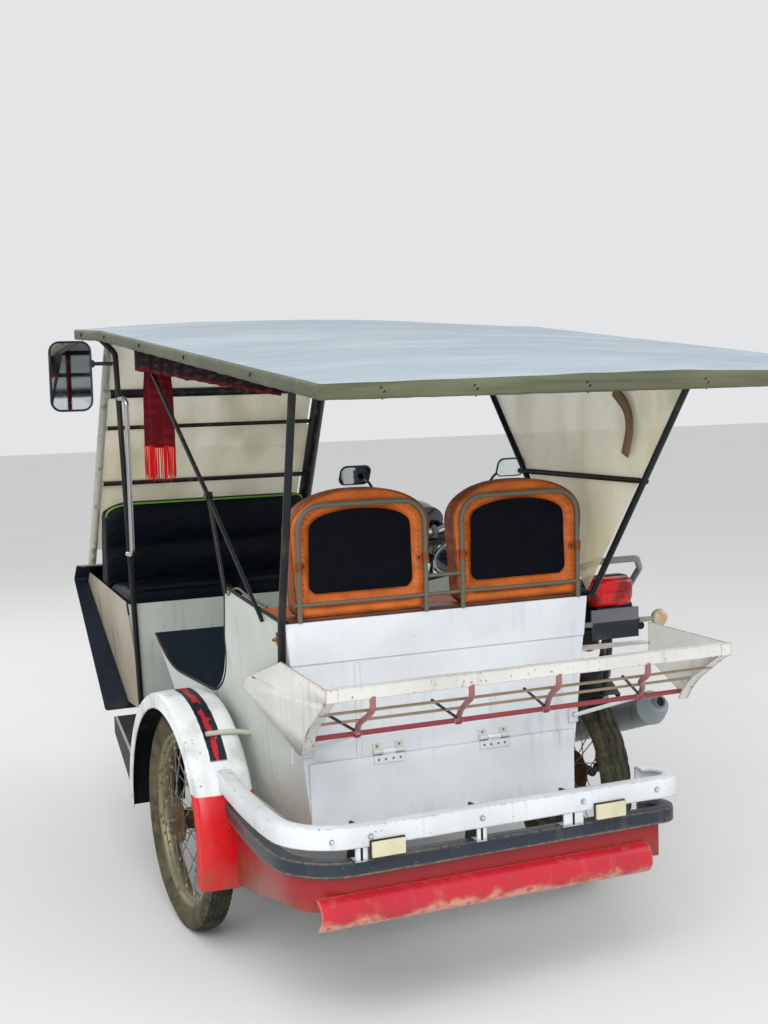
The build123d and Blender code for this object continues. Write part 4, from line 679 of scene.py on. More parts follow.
clear_lens = lens("clear_lens", (214, 216, 214), (170, 172, 170))
glass = mirror_glass()
wood = varnished_wood()
fender_coat = fender_paint()
windshield_paint = shield_paint()
step_navy = painted("step_navy", (12, 22, 38), (128, 126, 112), chips=0.4, gloss=0.5, grime=0.2,
                    dust=(90, 90, 84), edge=6, Specular_IOR_Level=0.15)
plate_plastic = plate_holder()
grey_plastic = plastic("grey_plastic", (104, 104, 110), (134, 130, 122), 0.45, Specular_IOR_Level=0.35)
rack_paint = painted("rack_paint", (212, 212, 207), (172, 84, 86), rust=(108, 72, 62), chips=0.66,
                     grime=0.3, edge=5, flakes=0.5)
hinge_paint = painted("hinge_paint", (214, 214, 208), (110, 96, 84), chips=0.5, edge=2, dents=0.5)
post_panel_paint = painted("post_panel_paint", (176, 168, 146), (120, 104, 80), rust=(96, 72, 48),
                           chips=0.6, grime=0.8, dust=(150, 132, 100), dents=4)
rail_grey = painted("rail_grey", (126, 130, 126), (70, 70, 66), chips=0.3, gloss=0.35, grime=0.3, dents=0.5)
cream_paint = painted("cream_paint", (186, 184, 156), (40, 46, 56), chips=0.95, grime=0.5, dents=0)
cast_cover = bare_metal("cast_cover", (150, 150, 148), (70, 64, 56), 0.4, 0.4, 0.8)
dusty_cup = plastic("dusty_cup", (120, 122, 118), (176, 168, 146), 0.45)
muffler_shield = painted("muffler_shield", (134, 142, 144), (80, 78, 74), chips=0.35, gloss=0.4, grime=0.5,
                         dents=0.6)
burnt_pipe = bare_metal("burnt_pipe", (112, 98, 84), (64, 46, 34), 0.5, 0.8, 0.7)


# Wheels and tyres

def tyre_profile(half, radius):
    """Cross-section of a tyre from one bead over the tread to the other, as (along, radius)."""
    side = [(-20, RIM_RADIUS - 4), (-24, RIM_RADIUS + 2), (-half * 0.86, radius - half * 1.28),
            (-half, radius - half * 0.92), (-half * 0.95, radius - half * 0.6),
            (-half * 0.82, radius - half * 0.34)]
    crown = [(half * t, radius - half * 0.3 * abs(t) ** 2.6) for t in [i / 20 - 0.75 for i in range(31)]]
    return side + crown + mirrored(side)


def tyre(name, x, y, width, tread):
    """Tyre with a moulded tread: wavy grooves along it, or blocks with cross grooves."""
    half = width / 2
    profile = tyre_profile(half, TYRE_RADIUS)
    steps = 480
    rows = []
    for step in range(steps):
        angle = math.tau * step / steps
        row = []
        for along, radius in profile:
            depth = tread(along / half, step) if radius > TYRE_RADIUS - half * 0.36 else 0
            row.append((x + along, y + (radius - depth) * math.cos(angle),
                        AXLE_Z + (radius - depth) * math.sin(angle)))
        rows.append(row)
    form = Form().skin(rows, around=True, loop=True)
    for face in range(steps * len(profile)):
        if 6 <= face % len(profile) < len(profile) - 7:
            form.finishes[face] = 1
    for side in (-1, 1):
        for lift, radius in ((half * 0.93, TYRE_RADIUS - half * 1.02), (half * 0.7, RIM_RADIUS + 9)):
            form.turned([(0.4 * math.cos(a), radius + 1.1 * math.sin(a)) for a in (0, 1.57, 3.14, 4.71)],
                        (x + side * (lift + 0.4), y, AXLE_Z), (1, 0, 0), steps=96)
    place_piece(form, name + "_treaded_tyre", [rubber, tread_rubber], name + "_tyre",
                name + "_wheel", smooth=50)


def wavy_tread(across, step):
    """Grooves that wave along the tread, with short cuts at the shoulders."""
    sway = 0.09 * math.sin(math.tau * step / 24)
    for line in (-0.5, 0, 0.5):
        if abs(across - line - sway) < 0.055:
            return 4
    return 2.4 if abs(across) > 0.6 and step % 12 < 3 else 0


def block_tread(across, step):
    """Staggered blocks."""
    row = round((across + 0.75) / 0.3)
    if abs((across + 0.75) / 0.3 - row) > 0.3:
        return 4.2
    return 4.2 if (step + 3 * (row % 2)) % 6 < 2 else 0


def spoked_wheel(name, x, y, drum_side, drum_radius):
    """Wire wheel: a rolled rim, a hub with flanges and a drum, and crossed spokes with their nipples."""
    form = Form()
    centre, across = (x, y, AXLE_Z), (1, 0, 0)
    rim_out = [(-22, 227), (-22, 219), (-19, 216), (-13, 214), (-12, 203)]
    rim_in = [(20, 227.5), (18, 226), (14, 218), (8, 210)]
    rim = rim_out + [(0, 199)] + mirrored(rim_out) + rim_in + mirrored(rim_in)
    form.turned(rim, centre, across, 0, 120)
    hub = [(-42, 9), (-42, 24), (-39, 27), (-34, 32), (-33, 57), (-30, 60), (-27, 57), (-24, 34), (-14, 27)]
    form.turned(hub + mirrored(hub), centre, across, 1, 48)
    drum = ((26, 30), (26, drum_radius), (37, drum_radius), (39, drum_radius - 4), (38, 12))
    form.turned([(drum_side * along, radius) for along, radius in drum], centre, across, 1, 64)
    for number in range(36):
        side = 1 if number % 2 else -1
        lean = 1 if number % 4 < 2 else -1
        foot_angle = math.radians(number * 10 - lean * 26)
        rim_angle = math.radians(number * 10)
        foot = Vector((x + side * 31, y + 53 * math.cos(foot_angle), AXLE_Z + 53 * math.sin(foot_angle)))
        tip = Vector((x + side * 4, y + 203 * math.cos(rim_angle), AXLE_Z + 203 * math.sin(rim_angle)))
        form.tube([foot, tip], 1.6, 2, 6)
        form.tube([tip + (foot - tip).normalized() * 13, tip], 2.9, 3, 6)
    form.tube([(x + 6, y, AXLE_Z + 205), (x + 9, y + 2, AXLE_Z + 176)], [4, 3], 3, 8)
    place_piece(form, name + "_laced_wheel", [rusty_rim, hub_brown, steel, tan_steel],
                name + "_wheel", name + "_wheel")


def wheels():
    """The three wire wheels and their tyres."""
    rows = (
        ("side", 0, 0, 74, block_tread, 1, 72),
        ("rear", BIKE_X, REAR_AXLE_Y, 84, wavy_tread, -1, 64),
        ("front", BIKE_X, FRONT_AXLE_Y, 70, wavy_tread, 1, 64),
    )
    for name, x, y, width, tread, drum_side, drum_radius in rows:
        spoked_wheel(name, x, y, drum_side, drum_radius)
        tyre(name, x, y, width, tread)


# Canopy, hem and hanging cloths

ROOF_LEFT, ROOF_RIGHT = -15, 1475
ROOF_REAR, ROOF_FRONT = -1035, 1035
ROOF_CROWN = 28
ROOF_REAR_Z, ROOF_KNEE_Y, ROOF_KNEE_Z, ROOF_NOSE_RISE = 1424, 700, 1601, 17
CROSS_TUBES = (-1005, -300, 380, 1005)


def roof_z(y):
    """Height of the cover's side edge."""
    if y <= ROOF_KNEE_Y:
        return ROOF_REAR_Z + (ROOF_KNEE_Z - ROOF_REAR_Z) * (y - ROOF_REAR) / (ROOF_KNEE_Y - ROOF_REAR)
    return ROOF_KNEE_Z + ROOF_NOSE_RISE * (y - ROOF_KNEE_Y) / (ROOF_FRONT - ROOF_KNEE_Y)


def cover_z(x, y):
    """Height of the cover's top: a crown across, a sag between the cross tubes and soft waves."""
    across = (x - ROOF_LEFT) / (ROOF_RIGHT - ROOF_LEFT) * 2 - 1
    for y0, y1 in zip(CROSS_TUBES, CROSS_TUBES[1:]):
        if y0 <= y <= y1:
            bay = math.sin(math.pi * (y - y0) / (y1 - y0))
            break
    else:
        bay = 0
    inner = fullness(across, 6)
    wave = uneven(x / 340, y / 260, 0.3) * 4 + uneven(x / 90, y / 150, 4) * 1.6
    crown = ROOF_CROWN * min(1, 0.35 + 0.65 * (y - ROOF_REAR) / 240)
    return roof_z(y) - 1 + crown * (1 - across ** 2) - (6 * bay + 2 - wave * 0.8) * inner


def canopy():
    """Tarpaulin stretched over the roof tubes, its edge turned down and rolled into an olive hem."""
    columns, lines = 80, 110
    xs = [ROOF_LEFT + 5 + (ROOF_RIGHT - ROOF_LEFT - 10) * i / columns for i in range(columns + 1)]
    ys = [ROOF_REAR + 5 + (ROOF_FRONT - ROOF_REAR - 10) * i / lines for i in range(lines + 1)]
    form = Form()
    form.skin([[(x, y, cover_z(x, y)) for x in xs] for y in ys])
    edge = [(x, ys[0]) for x in xs] + [(xs[-1], y) for y in ys[1:]] + [(x, ys[-1]) for x in xs[-2::-1]]
    edge += [(xs[0], y) for y in ys[-2:0:-1]]
    turn = ((0, 0), (2.5, -1.2), (4.2, -4), (4.6, -10), (4.2, -17), (4.4, -24), (3.4, -29), (1.2, -30.5),
            (-1.2, -29), (-1.8, -23))
    rows = [[] for _ in turn]
    for x, y in edge:
        out = Vector(((x > xs[-2]) - (x < xs[1]), (y > ys[-2]) - (y < ys[1]), 0)).normalized()
        ripple = uneven(x / 45, y / 45, 7)
        for row, (reach, drop) in zip(rows, turn):
            push = reach + ripple * min(0, drop + 4) * 0.09
            straight = min(1, max(0, -drop / 18))
            top = cover_z(x, y) * (1 - straight) + (roof_z(y) - 1) * straight
            place = Vector((x, y, top + drop + ripple * 1.2 * (drop < -12)))
            row.append(place + out * min(push, 4.8))
    form.skin(rows, 1, around=True)
    cover = place_piece(form, "canopy_tarpaulin", [roof_cloth, hem_cloth], "canopy_cover",
                        smooth=70, thickness=1.6)
    lacing = Form()
    for x in (120, 330, 600, 905, 1180, 1400):
        tie_knot(lacing, (x, ROOF_REAR + 2, roof_z(ROOF_REAR) - 14))
    for y in (-640, -150, 260, 640, 930):
        tie_knot(lacing, (ROOF_LEFT + 2, y, roof_z(y) - 15))
        tie_knot(lacing, (ROOF_RIGHT - 2, y, roof_z(y) - 15))
    place_piece(lacing, "canopy_ties", [trim_rubber])


def tie_knot(form, place):
    """Short cord tied through the hem."""
    x, y, z = place
    for turn in range(3):
        path = [(x + 5 * math.cos(a) + turn, y + 2.5 * math.sin(2 * a), z + 6 * math.sin(a))
                for a in angles(360, 12)[:-1]]
        form.tube(path, 1.3, sides=6, loop=True)
    form.tube(curve([(x, y, z - 4), (x + 3, y + 1, z - 12), (x + 1, y, z - 20)], 4), 1.3, sides=6)


def pelmet():
    """Woven cloth hung under the left edge of the roof, with a red border."""
    form = Form()
    steps = 110
    rows = [[] for _ in range(9)]
    for i in range(steps + 1):
        y = 415 - 1160 * i / steps
        deep = 84 - 44 * i / steps + uneven(i * 0.12, 4, 0) * 5
        for j, row in enumerate(rows):
            t = j / 8
            fold = math.sin(i * 0.75 + uneven(i * 0.2, 0, 0) * 3) * 2.6 * t
            row.append((13 + fold, y, roof_z(y) - 12.4 - deep * t))
    for j in range(8):
        form.skin([rows[j], rows[j + 1]], 1 if j == 7 else 0)
    cloth = place_piece(form, "pelmet_cloth", [pelmet_cloth, scarf_cloth], "woven_pelmet",
                        smooth=80, thickness=1.4)


def hanging_scarf():
    """Long scarf hung from a cross tube of the roof, folded lengthwise, with a fringe."""
    form = Form()
    turned_in = 0.26
    rows = []
    for j in range(31):
        t = j / 30
        z = 1548 - 290 * t
        row = []
        for i in range(25):
            u = i / 24
            gather = 0.78 + 0.22 * min(1, t * 2.2)
            across = (u - 0.5) * 150 * gather
            fold = math.sin(u * 15 + 1.4 * t) * (7 - 2.5 * t) + math.sin(u * 6) * 3
            row.append((62 + fold * 0.8 - across * turned_in, 372 + across - 6 * t,
                        z + 2 * math.sin(u * 9)))
        rows.append(row)
    form.skin(rows)
    cloth = place_piece(form, "scarf_cloth", [scarf_cloth], "scarf", smooth=80, thickness=1.5)
    fringe = Form()
    for x, foot_y, z in rows[-1]:
        for strand in range(2):
            y = foot_y + strand * 2.4
            drift = chance.uniform(-5, 5)
            drop = 92 + chance.uniform(-14, 8)
            path = curve([(x, y, z + 4), (x + drift * 0.3, y + drift * 0.2, z - drop * 0.5),
                          (x + drift * 0.4, y + drift * 0.6, z - drop)], 4)
            fringe.tube(path, [1.5] * (len(path) - 1) + [0.7], sides=5)
    place_piece(fringe, "scarf_fringe", [fringe_yarn])


# Seats and bench

def arch(half_foot, half_shoulder, foot_z, shoulder_z, top_z, count=96):
    """Closed outline of a seat back in X and Z, from one foot over the top to the other and back."""
    corner = half_shoulder * 0.92
    rise = top_z - shoulder_z
    over = [(half_shoulder - corner * (1 - math.cos(a)), shoulder_z + rise * math.sin(a) ** 0.9)
            for a in angles(90, 14)]
    right = [(half_foot - 14, foot_z), (half_foot, foot_z + 14)] + over
    line = right + mirrored(right) + [right[0]]
    return [(p.x, p.z) for p in evenly([(x, 0, z) for x, z in line], count + 1)[:-1]]


def seat_back(name, mid, side):
    """Seat back: a brown gusset, and an orange border with stitches round a black panel behind."""
    foot_z, centre_z = 893, 1010
    outline = arch(166, 178, foot_z, 1090, 1183)
    form = Form()

    def ring(scale, y):
        row = []
        for x, z in outline:
            away = Vector((x, z - centre_z)) * scale
            wrinkle = uneven(x / 26, z / 26, side * 9 + y / 30) * 1.2
            row.append((mid + away.x, y + wrinkle * (scale > 0.7), max(foot_z, centre_z + away.y)))
        return row

    back = [(0.02, -583), (0.76, -583.5), (0.79, -588), (0.83, -593.5), (0.9, -595.5), (0.96, -593),
            (0.985, -589)]
    gusset = [(0.985, -589), (0.992, -585), (1.0, -574), (1.0, -560), (0.992, -551), (0.985, -549)]
    front = [(0.985, -549), (0.95, -541), (0.88, -536), (0.82, -537.5), (0.8, -541), (0.78, -537.5),
             (0.6, -531), (0.3, -528), (0.02, -528)]
    for rows, finish in ((back, 0), (gusset, 1), (front, 0)):
        form.skin([ring(s, y) for s, y in rows], finish, around=True)
    for y in (back[0][1], front[-1][1]):
        form.add(ring(0.02, y), [tuple(range(len(outline)))])
    made = place_piece(form, name + "_seat_back", [vinyl_orange, vinyl_brown],
                       name + "_seat", smooth=75)
    piping = Form()
    for scale, y in ((0.988, -590.5), (0.988, -548)):
        piping.tube(ring(scale, y), 2.2, 0, 8, loop=True)
    place_piece(piping, name + "_seat_piping", [vinyl_brown], smooth=80)
    panel = arch(131, 128, 946, 1092, 1136)
    board = Form()
    rows = []
    for scale, y in ((1, -590), (0.985, -592.5), (0.96, -593.2), (0.7, -592.6), (0.35, -592.2),
                     (0.02, -592)):
        rows.append([(mid + x * scale, y + uneven(x / 50, z / 50, side + 2) * 0.9 * scale,
                      1036 + (z - 1036) * scale) for x, z in panel])
    board.skin(rows, around=True)
    board.add(rows[-1], [tuple(range(len(panel)))])
    place_piece(board, name + "_seat_panel", [vinyl_panel], smooth=60)
    stitches = Form()
    line = arch(147, 146, 926, 1092, 1155, 150)
    for (x0, z0), (x1, z1) in list(zip(line, line[1:]))[::2]:
        stitches.tube([(mid + x0, -596.4, z0), (mid + (x0 + x1) / 2, -597, (z0 + z1) / 2),
                       (mid + x1, -596.4, z1)], 0.8, sides=5)
    place_piece(stitches, name + "_seat_stitches", [vinyl_brown])


def pillow(form, x0, x1, y0, y1, z0, z1, crown, seams_x=(), seams_y=()):
    """Cushion with a crowned top, full sides and sewn lines across or along it."""
    columns, lines, power = 44, 34, 8
    us = [closing_in(i, columns) for i in range(columns + 1)]
    vs = [closing_in(i, lines) for i in range(lines + 1)]
    mid_x, mid_y = (x0 + x1) / 2, (y0 + y1) / 2

    def top(u, v):
        x, y = mid_x + (x1 - x0) / 2 * u, mid_y + (y1 - y0) / 2 * v
        full = (fullness(u, power) * fullness(v, power)) ** (1 / 3.2)
        z = z0 + (z1 - crown - z0) * full + crown * (1 - u * u) * (1 - v * v)
        for away in [x - seam for seam in seams_x] + [y - seam for seam in seams_y]:
            z -= 5 * math.exp(-(away / 5) ** 2) * full
        z += uneven(x / 60, y / 60, z0) * 2.2 * full
        squeeze = 1 - 0.012 * (1 - full)
        return (mid_x + (x - mid_x) * squeeze, mid_y + (y - mid_y) * squeeze, max(z, z0))

    form.skin([[top(u, v) for u in us] for v in vs])
    form.skin([[(mid_x + (x1 - x0) / 2 * u * 0.988, mid_y + (y1 - y0) / 2 * v * 0.988, z0) for u in us]
               for v in vs])


def rear_seats():
    """Two padded seats on the box at the rear, facing forwards."""
    for side, (name, mid) in enumerate(zip(("left", "right"), SEAT_MIDS)):
        seat_back(name, mid, side)
        form = Form()
        pillow(form, mid - 167, mid + 167, -534, -157, 800.5, 872, 9, (mid - 56, mid + 56), (-420, -290))
        made = place_piece(form, name + "_seat_cushion", [vinyl_orange], smooth=80)
        piping = Form()
        corners = [(mid - 163, -531), (mid + 163, -531), (mid + 163, -161), (mid - 163, -161),
                   (mid - 163, -530)]
        path = bent([(x, y, 806) for x, y in corners], 22)
        piping.tube(path, 2.6, sides=8)
        place_piece(piping, name + "_cushion_piping", [vinyl_brown], smooth=80)


def bench():
    """Black bench at the front: two cushions, a padded back and green piping."""
    left_x, right_x = 102, 818
    seat = Form()
    split = 468
    for x0, x1 in ((left_x, split - 3), (split + 3, right_x)):
        pillow(seat, x0, x1, 930, 1194, 735.6, 791, 8, seams_y=(1010, 1100))
    cushion = place_piece(seat, "bench_seat_cushion", [vinyl_black], "bench_cushion",
                          smooth=80)
    back = Form()
    rows = []
    columns = 60
    for i in range(columns + 1):
        u = closing_in(i, columns)
        x = (left_x + right_x) / 2 + (right_x - left_x) / 2 * u
        full = fullness(u, 12) ** 0.4
        sink = 4 * math.exp(-((x - 340) / 5) ** 2) + 4 * math.exp(-((x - 580) / 5) ** 2)
        swell = uneven(x / 80, 0, 5) * 2
        flat = 8 * (1 - full)
        line = [(1236, 738), (1206 + sink, 740), (1199 + flat + sink, 770), (1197 + sink + swell, 830),
                (1196 + flat + sink, 880), (1202 + sink, 891), (1196 + flat + sink, 902),
                (1195 + sink - swell, 960), (1197 + flat + sink, 1015), (1203 + sink, 1033), (1214, 1042),
                (1226, 1043.5), (1238, 1042), (1246, 1033), (1262, 900), (1272, 738)]
        droop = 24 * max(0, 1 - (x - left_x) / 80) ** 1.6 + (1 - full) * 10
        rows.append([(x, y, z - droop * (z > 1000)) for y, z in line])
    back.solid(rows)
    padded_back = place_piece(back, "bench_padded_back", [vinyl_black], "bench_back",
                              smooth=80)
    piping = Form()
    top = evenly([(left_x + 3, 1205, 996), (left_x + 10, 1205, 1014), (left_x + 34, 1205, 1027),
                  (left_x + 80, 1206, 1036), (right_x - 12, 1206, 1036), (right_x - 3, 1205, 1020)], 60)
    piping.tube(top, 3.4, sides=8)
    place_piece(piping, "bench_back_piping", [vinyl_green], smooth=80)
    front = Form()
    for x0, x1 in ((left_x + 3, split - 6), (split + 6, right_x - 3)):
        front.tube([(x0, 933, 745), (x1, 933, 745)], 2.6, sides=8)
        front.tube([(x0 + 6, 934, 778), (x1 - 6, 934, 778)], 2.6, sides=8)
    place_piece(front, "bench_cushion_piping", [vinyl_black], smooth=80)


# Rails, valance and step behind the tub

BUMPER_LEFT, BUMPER_RIGHT, BUMPER_REAR = -46, 945, -892


def rail_line(inset, start_y, cut_off=None):
    """Plan line of a rail: from the fender round the corner and along the rear, to a curl or a cut end."""
    x0, x1, rear = BUMPER_LEFT + inset, BUMPER_RIGHT - inset, BUMPER_REAR + inset
    corner = 150 - inset
    turn_y = rear + corner
    line = [(x0 + 34 * (1 - math.sin(math.pi / 2 * s / 14)), start_y + (turn_y - start_y) * s / 14)
            for s in range(14)]
    line += [(x0 + corner * (1 - math.cos(a)), turn_y - corner * math.sin(a)) for a in angles(90, 16)]
    end = 62 - inset
    stop = cut_off or x1 - end
    line += [(x0 + corner + (stop - x0 - corner) * s / 24, rear) for s in range(1, 25)]
    if not cut_off:
        line += [(x1 - end + end * math.sin(a), rear + end - end * math.cos(a))
                 for a in angles(180, 20)[1:]]
    return line


def run_profile(form, line, profile):
    """Sweeps a closed profile of (inward, height) along a plan line. profile() gives it for a place."""
    rows = []
    for i, (x, y) in enumerate(line):
        x_a, y_a = line[max(i - 1, 0)]
        x_b, y_b = line[min(i + 1, len(line) - 1)]
        away = Vector((-(y_b - y_a), x_b - x_a, 0)).normalized()
        rows.append([(x + away.x * u, y + away.y * u, z + uneven(x / 70, y / 70, 2) * 0.9)
                     for u, z in profile(x, y)])
    form.solid(rows)


def channel(foot, top):
    """Section of a rail as (inward, height): an upright web, folded over at its top and down again."""
    fold = ((-1.5, -6), (0.5, -1), (4, 0), (29, 0), (32, -1.5), (32.5, -6), (30, -6), (29, -3), (4.5, -3),
            (1.5, -6))
    return [(-1.5, foot)] + [(inward, top + z) for inward, z in fold] + [(1.5, foot)]


def rear_rails():
    """Both bumper rails with their bolts and uprights, the valance, the step and the reflectors."""
    upper = Form()
    upper_section = channel(443, 487) + [(4, 441.5), (4, 439.5), (-0.5, 440)]
    run_profile(upper, rail_line(0, -292), lambda x, y: upper_section)
    for x in (40, 130, 400, 660, 860):
        upper.bolt((x, BUMPER_REAR - 1.4, 463), (0, -1, 0), 5.5)
    place_piece(upper, "upper_rail", [rail_paint], "bumper_upper", smooth=50)
    lower = Form()
    lower_section = channel(377, 411)
    run_profile(lower, rail_line(8, -322), lambda x, y: lower_section)
    place_piece(lower, "lower_rail", [blue_grey_paint], "bumper_lower", smooth=50)
    uprights = Form()
    for x, width in ((TUB_MID - 350, 30), (TUB_MID - 60, 26), (TUB_MID + 176, 54)):
        uprights.box(x - width / 2, x + width / 2, BUMPER_REAR + 2, BUMPER_REAR + 4.5, 408, 446)
        uprights.box(x - width / 2, x + width / 2, BUMPER_REAR + 2, BUMPER_REAR + 30, 411.2, 413.2)
    place_piece(uprights, "rail_uprights", [rail_paint], rounding=0.6)

    skirt = Form()

    def skirt_shape(x, y):
        foot = 300 if y < -742 else 205 + 95 * (-290 - y) / 452
        foot += uneven(x / 60, y / 60, 8) * 3
        return [(-1.5, foot), (-1.5, 373), (1.5, 373), (1.5, foot), (5, foot - 1), (5, foot - 4),
                (0, foot - 5)]

    run_profile(skirt, rail_line(27.5, -346, BUMPER_RIGHT - 62), skirt_shape)
    place_piece(skirt, "valance_sheet", [red_paint], "valance", smooth=50)

    step = Form()
    rear_y = BUMPER_REAR + 25.7
    bow = [(rear_y - 35.5 * math.sin(a), 300 - 35.5 * math.cos(a)) for a in angles(180, 20)[1:-1]]
    hollow = [(-0.5, 333), (-22, 318), (-30, 300), (-22, 282), (-0.5, 267)]
    section = [(rear_y - 0.5, 264.5)] + bow + [(rear_y - 0.5, 335.5)] + [(rear_y + y, z) for y, z in hollow]
    rows = []
    for i in range(61):
        x = 12 + 830 * i / 60
        rows.append([(x, y + uneven(x / 60, z / 50, 1) * 0.9, z) for y, z in section])
    step.solid(rows)
    step.tube([(12, rear_y - 4, 266), (842, rear_y - 4, 266)], 3.2, 0, 10)
    place_piece(step, "rear_foot_step", [step_paint], "rear_step", smooth=45)

    marks = Form()
    for x in (126, 686):
        y = BUMPER_REAR - 2
        marks.box(x, x + 84, y - 4, y, 415, 455, 1)
        marks.slab([(x + 3, y - 4, 418), (x + 81, y - 4, 418), (x + 81, y - 4, 452), (x + 3, y - 4, 452)],
                   (0, -9, 0), 0)
    place_piece(marks, "rear_reflectors", [cream_plastic, black_plastic], "reflectors",
                rounding=2.2)


def side_fender():
    """Fender over the side wheel: rolled edges, a crowned top, stays and bolts."""
    form = Form()
    section = [(-71, 301), (-72.5, 299), (-75, 300.5), (-75, 303), (-74, 304), (-74, 330), (-72, 336),
               (-66, 339.5), (-40, 341.5), (4, 343.5), (46, 341.5), (66, 337), (74, 329), (78.5, 318),
               (79.5, 306), (77.5, 305), (76, 317), (71, 327), (64, 334), (46, 338.5), (4, 340.5),
               (-40, 338.5), (-64, 336.5), (-69, 334), (-71, 329)]
    rows = []
    for step in range(113):
        angle = math.radians(-6.5 + 202 * step / 112)
        wobble = uneven(step / 9, 0, 3)
        row = []
        for x, radius in section:
            radius += wobble * (radius > 320) - 1
            row.append((x, radius * math.cos(angle), AXLE_Z + radius * math.sin(angle)))
        rows.append(row)
    form.solid(rows)
    # The faces inside the fender take the black paint.
    for face in range((len(rows) - 1) * len(section)):
        if face % len(section) > 14:
            form.finishes[face] = 3
    for y in (-215, 215):
        z = AXLE_Z + math.sqrt(338 ** 2 - y ** 2)
        end = tub_left(y, z)
        stay = bent([(-16, y * 1.022, z + 12), (44, y * 1.022, z + 12), (72, y * 1.01, z + 8),
                     (end - 1, y, z)], 14)
        form.tube(stay, 6.5, 1, 14)
        form.bolt((10, y, z - 2), (0, y, 262), 7, 2)
    place_piece(form, "wheel_fender", [fender_coat, stay_paint, steel, black_paint],
                "side_fender", smooth=48)


# Luggage rack

RACK_LEFT, RIM_Y, RIM_Z, LOW_Y, LOW_Z = 47, -868, 782, -706, 640


def rack_right(y):
    """X of the right end plate, which spreads towards the rear."""
    return 1052 + (REAR_Y - y) * 40 / 268


def luggage_rack():
    """Rack with two end plates, a folded rim, a shelf at each side, and painted rods."""
    plates = Form()
    sweep_edge = [(RIM_Y, 754), (-836, 732), (-802, 706), (-770, 682), (-744, 654), (-726, 624),
                  (-708, 606)]
    left = [(-330, 695), (-360, 725), (REAR_Y, 800), (RIM_Y, RIM_Z)] + sweep_edge + [(-692, 606)]
    plates.slab([(RACK_LEFT, y, z) for y, z in left], (3, 0, 0))
    right = [(REAR_Y + 8, 800), (RIM_Y, RIM_Z)] + [(y, max(z, 622)) for y, z in sweep_edge[:-1]]
    right.append((REAR_Y + 8, 706))
    plates.slab([(rack_right(y), y, z) for y, z in right], (-3, 0, 0))
    for outline, face, inward in ((sweep_edge, lambda y: RACK_LEFT, 26),
                                  (sweep_edge[:-1], rack_right, -26)):
        rows = []
        for _, y, z in curve([(0, y, z) for y, z in outline], 4):
            x = face(y)
            rows.append([(x, y, z), (x + inward, y + 2, z + 1), (x + inward, y + 4, z + 3),
                         (x, y + 2, z + 2)])
        plates.solid(rows)
    rim = [(RIM_Y - 3, 754), (RIM_Y - 3, 780), (RIM_Y - 1, 782), (RIM_Y + 24, 782), (RIM_Y + 26, 780),
           (RIM_Y + 26, 774), (RIM_Y + 24, 774), (RIM_Y + 23, 779), (RIM_Y, 779), (RIM_Y, 757),
           (RIM_Y + 6, 756), (RIM_Y + 6, 754)]
    rows = []
    for i in range(49):
        x = RACK_LEFT + (1092 - RACK_LEFT) * i / 48
        lift = uneven(x / 130, 0, 6) * 1.6
        rows.append([(x, y + lift * 0.6, z + lift * 0.5 - 0.5) for y, z in rim])
    plates.solid(rows)
    plates.box(RACK_LEFT - 2, RACK_LEFT + 26, RIM_Y - 4, RIM_Y - 2.5, 752, 782.5)
    plates.box(1064, 1093, RIM_Y - 4, RIM_Y - 2.5, 752, 782.5)
    plates.box(RACK_LEFT, tub_left(-560, 745), -556, -400, 730, 733)
    plates.slab([(tub_right(REAR_Y), REAR_Y + 2, 745), (1051, REAR_Y + 2, 745), (1051, REAR_Y + 40, 745),
                 (tub_right(REAR_Y), REAR_Y + 60, 745)], (0, 0, 3))
    place_piece(plates, "rack_plates", [rack_paint], "luggage_rack", rounding=0.8)
    rods = Form()
    for y, z in ((-812, 716), (-762, 684)):
        rods.tube([(RACK_LEFT + 2, y, z), (400, y, z - 1.5), (760, y, z - 1), (rack_right(y) - 2, y, z)],
                  3.4, 1)
    rods.tube([(RACK_LEFT + 2, LOW_Y, LOW_Z), (rack_right(LOW_Y) - 2, LOW_Y, LOW_Z)], 6, 0)
    for top_x, foot_x in ((155, 185), (394, 441), (617, 676), (858, 942)):
        rods.tube(bent([(top_x, RIM_Y + 1, 758), (top_x + 2, RIM_Y + 4, 728), (top_x + 12, -816, 704),
                        (foot_x - 6, -730, 668), (foot_x, LOW_Y, LOW_Z)], 40), 7, 4)
        rods.tube([(foot_x, LOW_Y, LOW_Z + 4), (foot_x - 118, -812, 720)], 3.5, 2)
        rods.plug([(-9, 7), (-6, 9.5), (0, 10.5), (6, 9.5), (9, 7)], (foot_x, LOW_Y, LOW_Z), (1, 0, 0),
                  steps=14)
    for low_x, foot_x in ((185, 106), (942, 815)):
        rods.tube([(low_x, LOW_Y, LOW_Z), (foot_x, REAR_Y - 6, 588)], 5, 3)
        rods.box(foot_x - 14, foot_x + 14, REAR_Y - 4, REAR_Y - 3.2, 570, 606, 3)
    place_piece(rods, "rack_rods",
                [rack_red, tan_steel, black_paint, white_paint, rack_faded], smooth=50)


# Tub, frames and sheets that keep their own solids

SCREEN_X = 872


